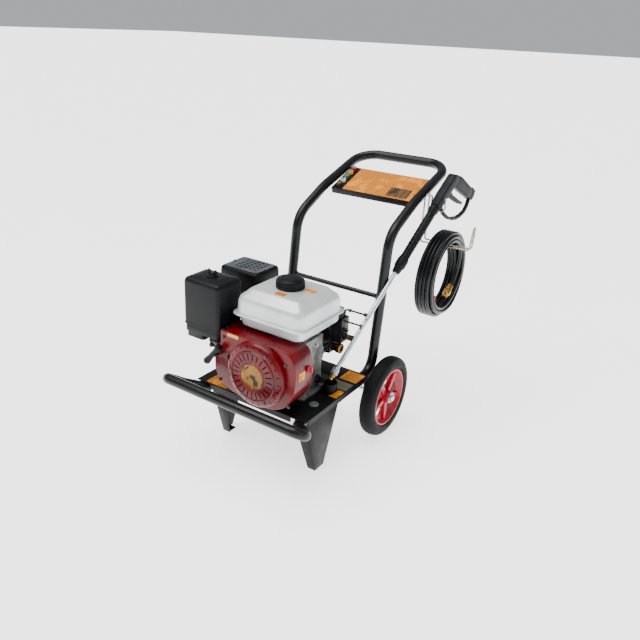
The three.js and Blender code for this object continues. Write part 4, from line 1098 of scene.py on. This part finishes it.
# %% [markdown]
# ## Recoil cover
# The starter cover in front is a spun bowl with a ring of air slots. The slots are cut by blocks that grow
# round a circle, so their number and size can change in one place.
# %% Recoil cover with its slots
COVER_Y = -455
SLOTS = 24
profile = [[0, 6], [30, 6], [33, 5], [36, 1.6], [38, 0.6], [42, 0.2], [43, 1.4], [70, 2.4], [72, 4],
           [76, 4.6], [86, 6.6], [92, 9.6], [96, 13.6], [97, 17], [97, 29.6], [92, 29.6], [92, 15.6],
           [88, 11.6], [70, 8], [40, 7.4], [0, 9]]
recoil = piece("recoil_cover_finished", [turned(profile, at(CX, COVER_Y, CZ), (0, 1, 0), 128)], engine_red,
               stands_for=["recoil_cover"])
slots = grown(ROUND, at(CX, COVER_Y + 3, CZ), (0, -1, 0), Count=SLOTS, Radius=0.0585,
              Block=(0.020, 0.0030, 0.03), Finish=engine_red)
rims = grown(ROUND, at(CX, COVER_Y + 11, CZ), (0, -1, 0), Count=SLOTS, Radius=0.0862,
             Block=(0.007, 0.0026, 0.03), Finish=engine_red)
carved(recoil, [slots, rims])
ridge = turned([[71, 2.6], [72, 0.8], [74, 0.8], [76, 4.2], [71, 4.6], [71, 2.6]], at(CX, COVER_Y, CZ),
               (0, 1, 0), 128)
piece("recoil_ridge", [ridge], engine_red)
recoil_bolts = []
for angle in (60, 180, 300):
    a = math.radians(angle)
    recoil_bolts += bolt(CX + 82 * math.cos(a), -448.6, CZ + 82 * math.sin(a), (0, -1, 0), 5.5, 4.5)
piece("recoil_bolts", recoil_bolts, dull_metal)

# %% [markdown]
# ## Badge
# A round plate fills the middle of the cover. Its print is the same generic pattern of dashes as on the
# stickers, finer and in gold, and a separate ring frames it.
# %% Badge: a gold ring round a dark disc of short generic strokes
badge_dark = printed("badge_dark", tone(36, 20, 6), tone(196, 140, 48), 120, 90, 0.95, True)
disc = turned([[0, 4.4], [32.6, 4.4], [32.6, 5.6], [0, 5.6]], at(CX, COVER_Y, CZ), (0, 1, 0), 72)
piece("badge", [disc], badge_dark)
rim_ring = turned([[32.8, 3.6], [36, 1.2], [36.4, 2.2], [34, 5], [32.8, 5], [32.8, 3.6]],
                  at(CX, COVER_Y, CZ), (0, 1, 0), 72)
piece("badge_ring", [rim_ring], brass)

# %% [markdown]
# ## Starter
# A rope comes out of the cover, leaning a little down, to a T-shaped grip. The rope is a tube with two dozen
# steps.
# %% Starter rope and grip
PULL = math.radians(9.8)
PULLEY, ROPE, ROPE_STEPS = 42, 130, 24
pull = Vector((-math.cos(PULL), 0, -math.sin(PULL)))
rope_start = Vector((CX - PULLEY * math.sin(PULL), -440, CZ + PULLEY * math.cos(PULL)))
rope_points = [at(*(rope_start + pull * ROPE * k / ROPE_STEPS)) for k in range(ROPE_STEPS + 1)]
rope = piece("starter_rope_finished", [tube(rope_points, 2, 12)], rope_dark, body=None,
             stands_for=["starter_rope"])
middle = rope_start + pull * 149
lean = Vector((-0.63, 0, -0.776)).normalized()
grip_profile = [[0, 0], [6, 0.4], [9.4, 2.4], [11, 6], [10.6, 12], [8.6, 26], [8.4, 43], [8.6, 60],
                [10.6, 74], [11, 80], [9.4, 83.6], [6, 85.6], [0, 86]]
bar = turned(grip_profile, at(*(middle - lean * 43)), lean, 32)
neck = turned([[0, 0], [4, 0], [5, 2], [7, 8], [8, 15], [0, 18]], at(*(rope_start + pull * 129.4)), pull, 28)
piece("starter_grip_finished", [bar, neck], moulded_black, body="starter", stands_for=["starter_grip"])
guide = turned([[3.2, 0], [7.5, 0], [8, 2], [7.5, 5], [3.2, 5], [3.2, 0]], at(*(rope_start + pull * 84)),
               pull, 28)
piece("rope_guide", [guide], moulded_black)

# %% [markdown]
# ## Small controls
# Switch, choke, fuel tap, throttle and dipstick each ride on a body of their own. The levers keep their
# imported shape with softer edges, and the switch and dipstick are made again with finger ribs.
# %% Switch, levers, dipstick
knob_start = at(167.4, -362, 360)
knob = turned([[0, 0], [10, 0], [10, 4.6], [8.6, 6], [0, 6]], knob_start, (1, 0, 0), 40)
fin = block(170.1, 180.4, -365, -359, 351, 369, 1.6, 3)
piece("engine_switch_finished", [knob, fin], rim_red, body="switch", stands_for=["engine_switch"])
eased("choke_lever", moulded_black, 0.6, "choke")
eased("fuel_lever", moulded_black, 0.6, "fuel_tap")
eased("throttle_lever", moulded_black, 0.6, "throttle")
dip = turned([[0, 0], [11, 0], [13, 1], [13, 5], [11, 6.4], [9.4, 8], [9.4, 15], [8, 17.4], [0, 18]],
             at(114.3, -232, 256), (1, 0, 0), 32)
dip_ribs = grown(ROUND, at(125, -232, 256), (1, 0, 0), Count=12, Radius=0.0094,
                 Block=(0.0016, 0.0018, 0.008), Finish=moulded_black)
piece("oil_dipstick_finished", [dip, dip_ribs], moulded_black, body="dipstick", stands_for=["oil_dipstick"])

# %% [markdown]
# ## Fuel tank
# Two pressed halves meet in a flange all the way round. Rounded rectangles stacked at rising heights
# make the whole of it, with the flange as three close levels and the crown as a slow curve.
# %% Tank
TANK = (-91, 159, -393, -154)
CAP_X, CAP_Y = 34, -273


def level(inset, height, left=0):
    """One level of the tank; left draws the lower half in on the cylinder's side."""
    x0, x1, y0, y1 = TANK
    radius = max(30 - inset * 0.3, 14)
    return rounded_outline(x0 + inset + left, x1 - inset, y0 + inset, y1 - inset, radius, 8), height


tank_levels = [level(30, 431, left=10), level(20, 432, left=12), level(14, 436, left=12),
               level(12, 442, left=12), level(11, 458, left=10), level(8, 464.4, left=4), level(0.6, 465.4),
               level(0, 466), level(0, 468), level(0.6, 468.6), level(8, 469.6), level(9.6, 474),
               level(10.4, 496), level(12, 508), level(15, 516), level(20, 521.6), level(26, 526),
               level(31, 530.6), level(35, 534.6), level(39, 538), level(42, 539.4), level(46, 540),
               level(70, 540.2)]
piece("fuel_tank_finished", [stacked(tank_levels)], tank_silver, stands_for=["fuel_tank"], angle=50)
neck = turned([[26, -6], [31, -6], [32, -4.6], [30, 0], [29, 12], [26, 12], [26, -6]], at(CAP_X, CAP_Y, 539),
              (0, 0, 1), 64)
piece("filler_neck", [neck], tank_silver)
for index, (x, y) in enumerate(((45, -334), (96, -262))):
    mark = rounded_outline(x - 17, x + 17, y - 11, y + 11, 4, 3)
    piece("tank_sticker_%d" % index, [plate(mark, 538, 540.6, at, 0.2, 1)], label_orange)

# %% [markdown]
# ## Fuel cap
# A deep moulded cap with ribs all round its skirt. The cap is spun, the ribs grow round it, and both turn
# together on the cap's own body.
# %% Fuel cap
cap_ribs = grown(ROUND, at(CAP_X, CAP_Y, 554), (0, 0, 1), Count=44, Radius=0.0409,
                 Block=(0.002, 0.0026, 0.013), Finish=moulded_black)
cap_solid = turned([[0, 12], [28.6, 12], [28.6, 0], [39, 0], [42, 1.6], [42, 5], [41, 6], [41, 20], [39, 24],
                    [35, 26.6], [30, 27.4], [28.6, 29], [25, 29.8], [0, 30]], at(CAP_X, CAP_Y, 541),
                   (0, 0, 1), 96)
piece("fuel_cap_finished", [cap_solid, cap_ribs], moulded_black, body="fuel_cap", stands_for=["fuel_cap"])

# %% [markdown]
# ## Air cleaner
# The air cleaner is a moulded box with a slightly crowned lid, hollow inside for its filter and held by a
# wing nut on a stud. The lid lifts off, so the hole for the stud goes right through it.
# %% Air cleaner cover
AIR_BOX = (-240, -101, -426.5, -318)


def moulded_levels(box, rows):
    """Levels of a box with round corners, from rows of (inset, height)."""
    x0, x1, y0, y1 = box
    return [(rounded_outline(x0 + inset, x1 - inset, y0 + inset, y1 - inset, max(14 - inset * 0.5, 6), 6),
             height) for inset, height in rows]


STUD_X, STUD_Y = -170.5, -372.25
cover_levels = moulded_levels(AIR_BOX, [(1, 404), (0, 405), (0, 409), (1.2, 410), (1.2, 533), (2, 539),
                                        (4, 544), (8, 547.6), (16, 549.6), (24, 550.4), (27, 551.8),
                                        (40, 552)])
cover_hollow = stacked(moulded_levels(AIR_BOX, [(4, 398), (4, 535), (12, 545)]))
stud_hole = turned([[0, 0], [3.6, 0], [3.6, 80], [0, 80]], at(STUD_X, STUD_Y, 507), (0, 0, 1), 24)
air_cover = piece("air_cleaner_cover_finished", [stacked(cover_levels)], moulded_black, body="air_cover",
                  stands_for=["air_cleaner_cover"], angle=40)
carved(air_cover, [cover_hollow, stud_hole])

# %% [markdown]
# ## Wing nut, base and carburettor
# The wing nut is a round hub with two thin wings and turns on its own body. The base, the carburettor and
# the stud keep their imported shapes.
# %% Wing nut, base and carburettor
eased("air_cleaner_base", moulded_black, 1.2)
NUT_Z = 552
hub = turned([[3.4, 0.3], [17, 0.3], [17, 2.6], [15.6, 4], [8, 5], [7, 12], [3.4, 12.4], [3.4, 0.3]],
             at(STUD_X, STUD_Y, NUT_Z), (0, 0, 1), 40)
wings = []
for side in (-1, 1):
    outline = [(side * 5, 3.4), (side * 15, 6), (side * 16.5, 13), (side * 14.5, 20.4), (side * 11, 21),
               (side * 8, 14), (side * 5, 9)]
    wings.append(plate(outline, -2, 2, lambda u, v, w: at(STUD_X + u, STUD_Y + w, NUT_Z + v), 0.9, 2))
piece("air_cleaner_wing_nut_finished", [hub] + wings, moulded_black, body="wing_nut",
      stands_for=["air_cleaner_wing_nut"])
eased("carburettor", cast_metal, 0.8)
eased("air_cleaner_stud", zinc_wire, 0.4)

# %% [markdown]
# ## Muffler
# The muffler is a dull pressed box under a black guard, whose lighter top plate has rows of slots. One grid
# of blocks cuts the slots through the plate and the guard at the same time.
# %% Muffler and guard
eased("muffler", dull_metal, 1.4)
GUARD_BOX, GUARD_TOP = (-248, -101, -256, -135), 538
guard_levels = moulded_levels(GUARD_BOX, [(0, 428.2), (0, 506), (0, 522), (1, 530), (3.4, 534.6), (7, 537),
                                          (12, 538)])
guard_hollow = moulded_levels(GUARD_BOX, [(3, 410), (3, 527), (9, 534.6)])
perforations = grown(ROWS, at(-168, -192, 533), (0, 0, 1), Across=5, Along=5, Width=0.072, Length=0.062,
                     Block=(0.0112, 0.0062, 0.03), Finish=guard_metal)
guard = piece("muffler_guard_finished", [stacked(guard_levels)], sheet_black, stands_for=["muffler_guard"],
              angle=40)
carved(guard, [stacked(guard_hollow), perforations])
top_plate = piece("muffler_guard_top", [stacked(moulded_levels(GUARD_BOX, [(9, 538.05), (9, 538.3)]))],
                  guard_metal)
carved(top_plate, [perforations])
guard_bolts = (bolt(-236, -195, GUARD_TOP, (0, 0, 1), 5, 3.5)
               + bolt(-114, -195, GUARD_TOP, (0, 0, 1), 5, 3.5))
piece("muffler_guard_bolts", guard_bolts, zinc_wire)
eased("spark_plug_cap", rubber_black, 1.0)

# %% [markdown]
# ## The pump
# A black bell housing on the engine's output side, with a dark, anodised manifold behind it, a row of
# valve caps, the pressure knob on its neck and the inlet and outlet fittings.
# %% Pump
bell = turned([[12, 0], [62, 0], [62, 12], [60, 14], [50, 15], [48, 18], [47, 70], [45, 72], [12, 72],
               [12, 0]], at(CX, -199.7, CZ), (0, 1, 0), 72)
fins = grown(ROUND, at(CX, -160, CZ), (0, 1, 0), Count=16, Radius=0.049, Block=(0.006, 0.003, 0.05),
             Finish=sheet_black)
piece("pump_body_finished", [bell, fins], sheet_black, stands_for=["pump_body"])
eased("pump_manifold", anodised_black, 0.9)
valve_caps = []
for k in (-1, 0, 1):
    for dz in (-16, 20):
        valve_caps.append(turned([[0, 0], [9, 0], [9, 5], [7.6, 6], [0, 6]], at(CX + 30 * k, -69.4, CZ + dz),
                                 (0, 1, 0), 6))
piece("pump_valve_caps", valve_caps, pin_bronze)
thread = []
for k in range(5):
    thread += [[8.6, 2 + 4 * k], [9.6, 4 + 4 * k], [8.6, 6 + 4 * k]]
outlet_thread = turned([[8, 1]] + thread + [[8, 23], [8, 1]], at(CX + 92, -103.4, CZ + 22), (1, 0, 0), 32)
pin_head = turned([[0, 0], [4.6, 0], [5.2, 1], [5.2, 6], [4.2, 7], [0, 7]], at(CX + 134, -103, 402),
                  (1, 0, 0), 24)
pipe_sleeve = turned([[3.1, 0], [5.4, 0], [5.4, 6], [3.1, 6], [3.1, 0]], at(CX + 84, -86, 433), (1, 0, 0), 20)
piece("pump_small_fittings", [outlet_thread, pin_head, pipe_sleeve], pin_bronze)

# %% [markdown]
# ## Pressure knob and inlet
# The knob on the pump's neck turns on its own body and has ribs for the hand. The inlet below it is a brass
# fitting with a collar, where a garden hose would be screwed on.
# %% Pressure knob and inlet
knob_at = at(CX + 62, -107, CZ + 90.3)
knob = turned([[0, 0], [13, 0], [14.5, 1.4], [14.5, 19], [13, 22.4], [10, 23.8], [0, 24]], knob_at,
              (0, 0, 1), 48)
knob_ribs = grown(ROUND, knob_at + Vector((0, 0, 0.0105)), (0, 0, 1), Count=16, Radius=0.0141,
                  Block=(0.002, 0.0028, 0.016), Finish=moulded_black)
piece("pressure_knob_finished", [knob, knob_ribs], moulded_black, body="pressure_knob",
      stands_for=["pressure_knob"])
inlet = turned([[0, 0], [13, 0], [13, 13], [14, 14.4], [16, 15], [16, 28.6], [14.6, 30], [9, 30], [8.4, 22],
                [0, 22]], at(88.3, -103.4, CZ - 24), (1, 0, 0), 48)
piece("inlet_fitting_finished", [inlet], brass, stands_for=["inlet_fitting"])

# %% [markdown]
# ## What is hidden
# Flywheel, crankshaft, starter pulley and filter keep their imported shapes. They show only when a cover is
# lifted, but a plain default grey would give them away, so each gets the finish of its real material.
# %% Hidden parts get a finish too
for name, material in (("flywheel", cast_metal), ("crankshaft", bright_steel),
                       ("recoil_pulley", moulded_black), ("filter_element", foam_brown)):
    thing = bpy.data.objects[name]
    thing.data.materials.clear()
    thing.data.materials.append(material)
    print(name, "gets", material.name)

# %% [markdown]
# ## Hose couplings
# A red sleeve on the gun's end of the hose and a brass one on the pump's end, both lying inside the coil.
# They point opposite ways round the coil, because the hose runs from one to the other in one direction.
# %% Hose couplings
def coupling(name, node_name, angle, across, hose_side, material):
    """A sleeve, a nut and a thread inside the coil; hose_side is -1 or 1, the way its hose comes from."""
    turn_by = math.radians(angle)
    tangent = Vector((0, math.cos(turn_by), math.sin(turn_by)))
    start = on_coil(COUPLING_R, angle, across) + tangent * hose_side * 0.028
    sleeve = turned([[0, 0], [8, 0], [9.6, 1.4], [10, 4], [10, 22], [11, 22.6], [12.5, 24], [12.5, 43],
                     [11.6, 44], [8, 46], [8, 55.4], [7, 56], [0, 56]], start, tangent * -hose_side, 40)
    return piece(name, [sleeve], material, stands_for=[node_name])


red_coupling = coupling("hose_sleeve_red", "hose_coupling_gun", RED_ANGLE, RED_ACROSS, -1, rim_red)
brass_coupling = coupling("hose_fitting_brass", "hose_coupling_pump", BRASS_ANGLE, BRASS_ACROSS, 1, brass)
red_wrap = piece("hose_wrap_red", [tube([hose_spot(angle) for angle in range(1, 48, 3)], 7.2, 28)], rim_red)

print("hose declared, leaving at", [round(value, 3) for value in hose_points[0]])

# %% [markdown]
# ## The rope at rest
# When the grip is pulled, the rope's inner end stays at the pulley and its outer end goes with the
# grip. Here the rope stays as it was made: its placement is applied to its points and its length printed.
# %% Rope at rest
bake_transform(rope)
print("rope at rest, m", round((rope_points[-1] - rope_points[0]).length, 3))

# %% [markdown]
# ## Floor
# A wide pale floor, which reaches so far out that its edge stays a thin line in any view. It glows a
# little, as a lit studio sweep does, so that it stays almost white without more light on the machine.
# %% Floor
floor_mesh = bpy.data.meshes.new("floor")
HALF, UNDER = 60, -0.0005
corners = [(-HALF, -HALF, UNDER), (HALF, -HALF, UNDER), (HALF, HALF, UNDER), (-HALF, HALF, UNDER)]
floor_mesh.from_pydata(corners, [], [(0, 1, 2, 3)])
floor = bpy.data.objects.new("floor", floor_mesh)
bpy.context.scene.collection.objects.link(floor)
floor_pale = finish("floor_pale", tone(250, 250, 250), tone(248, 248, 248), (0.8, 0.9), 0.0, 2, 0.0, 10)
glow = floor_pale.node_tree.nodes["Principled BSDF"]
glow.inputs["Emission Color"].default_value = (1, 1, 1, 1)
glow.inputs["Emission Strength"].default_value = 1.7
floor_mesh.materials.append(floor_pale)
print("floor", 2 * HALF, "m wide")

# %% [markdown]
# ## Light
# The sun gives an even, soft base, the key light from the front left draws the highlights along the tubes,
# and a cooler one from the right opens the side of the engine. The world adds a little of everything.
# %% Lights
def lamp(name, kind, place, target, energy, colour, size):
    """A sun, sized by its angle in degrees, or an area light, sized in metres, aimed at a target."""
    data = bpy.data.lights.new(name, kind)
    data.energy = energy
    data.color = colour
    if kind == "AREA":
        data.shape = "RECTANGLE"
        data.size, data.size_y = size
    else:
        data.angle = math.radians(size[0])
    light = bpy.data.objects.new(name, data)
    bpy.context.scene.collection.objects.link(light)
    light.location = place
    light.rotation_euler = (Vector(target) - Vector(place)).to_track_quat("-Z", "Y").to_euler()


lamp("sky_glow", "SUN", (-0.8, -0.7, 4), (0, 0, 0), 3.4, (1.0, 0.99, 0.97), (50, 0))
lamp("key", "AREA", (-1.6, -2.0, 2.9), (0, 0, 0.35), 26, (1.0, 0.98, 0.94), (0.9, 0.9))
lamp("side", "AREA", (2.6, -0.6, 1.5), (0, 0, 0.4), 12, (0.92, 0.96, 1.0), (0.8, 1.8))
world = bpy.data.worlds.new("world")
bpy.context.scene.world = world
world.use_nodes = True
world.node_tree.nodes["Background"].inputs["Color"].default_value = (0.95, 0.97, 1.0, 1)
world.node_tree.nodes["Background"].inputs["Strength"].default_value = 0.5
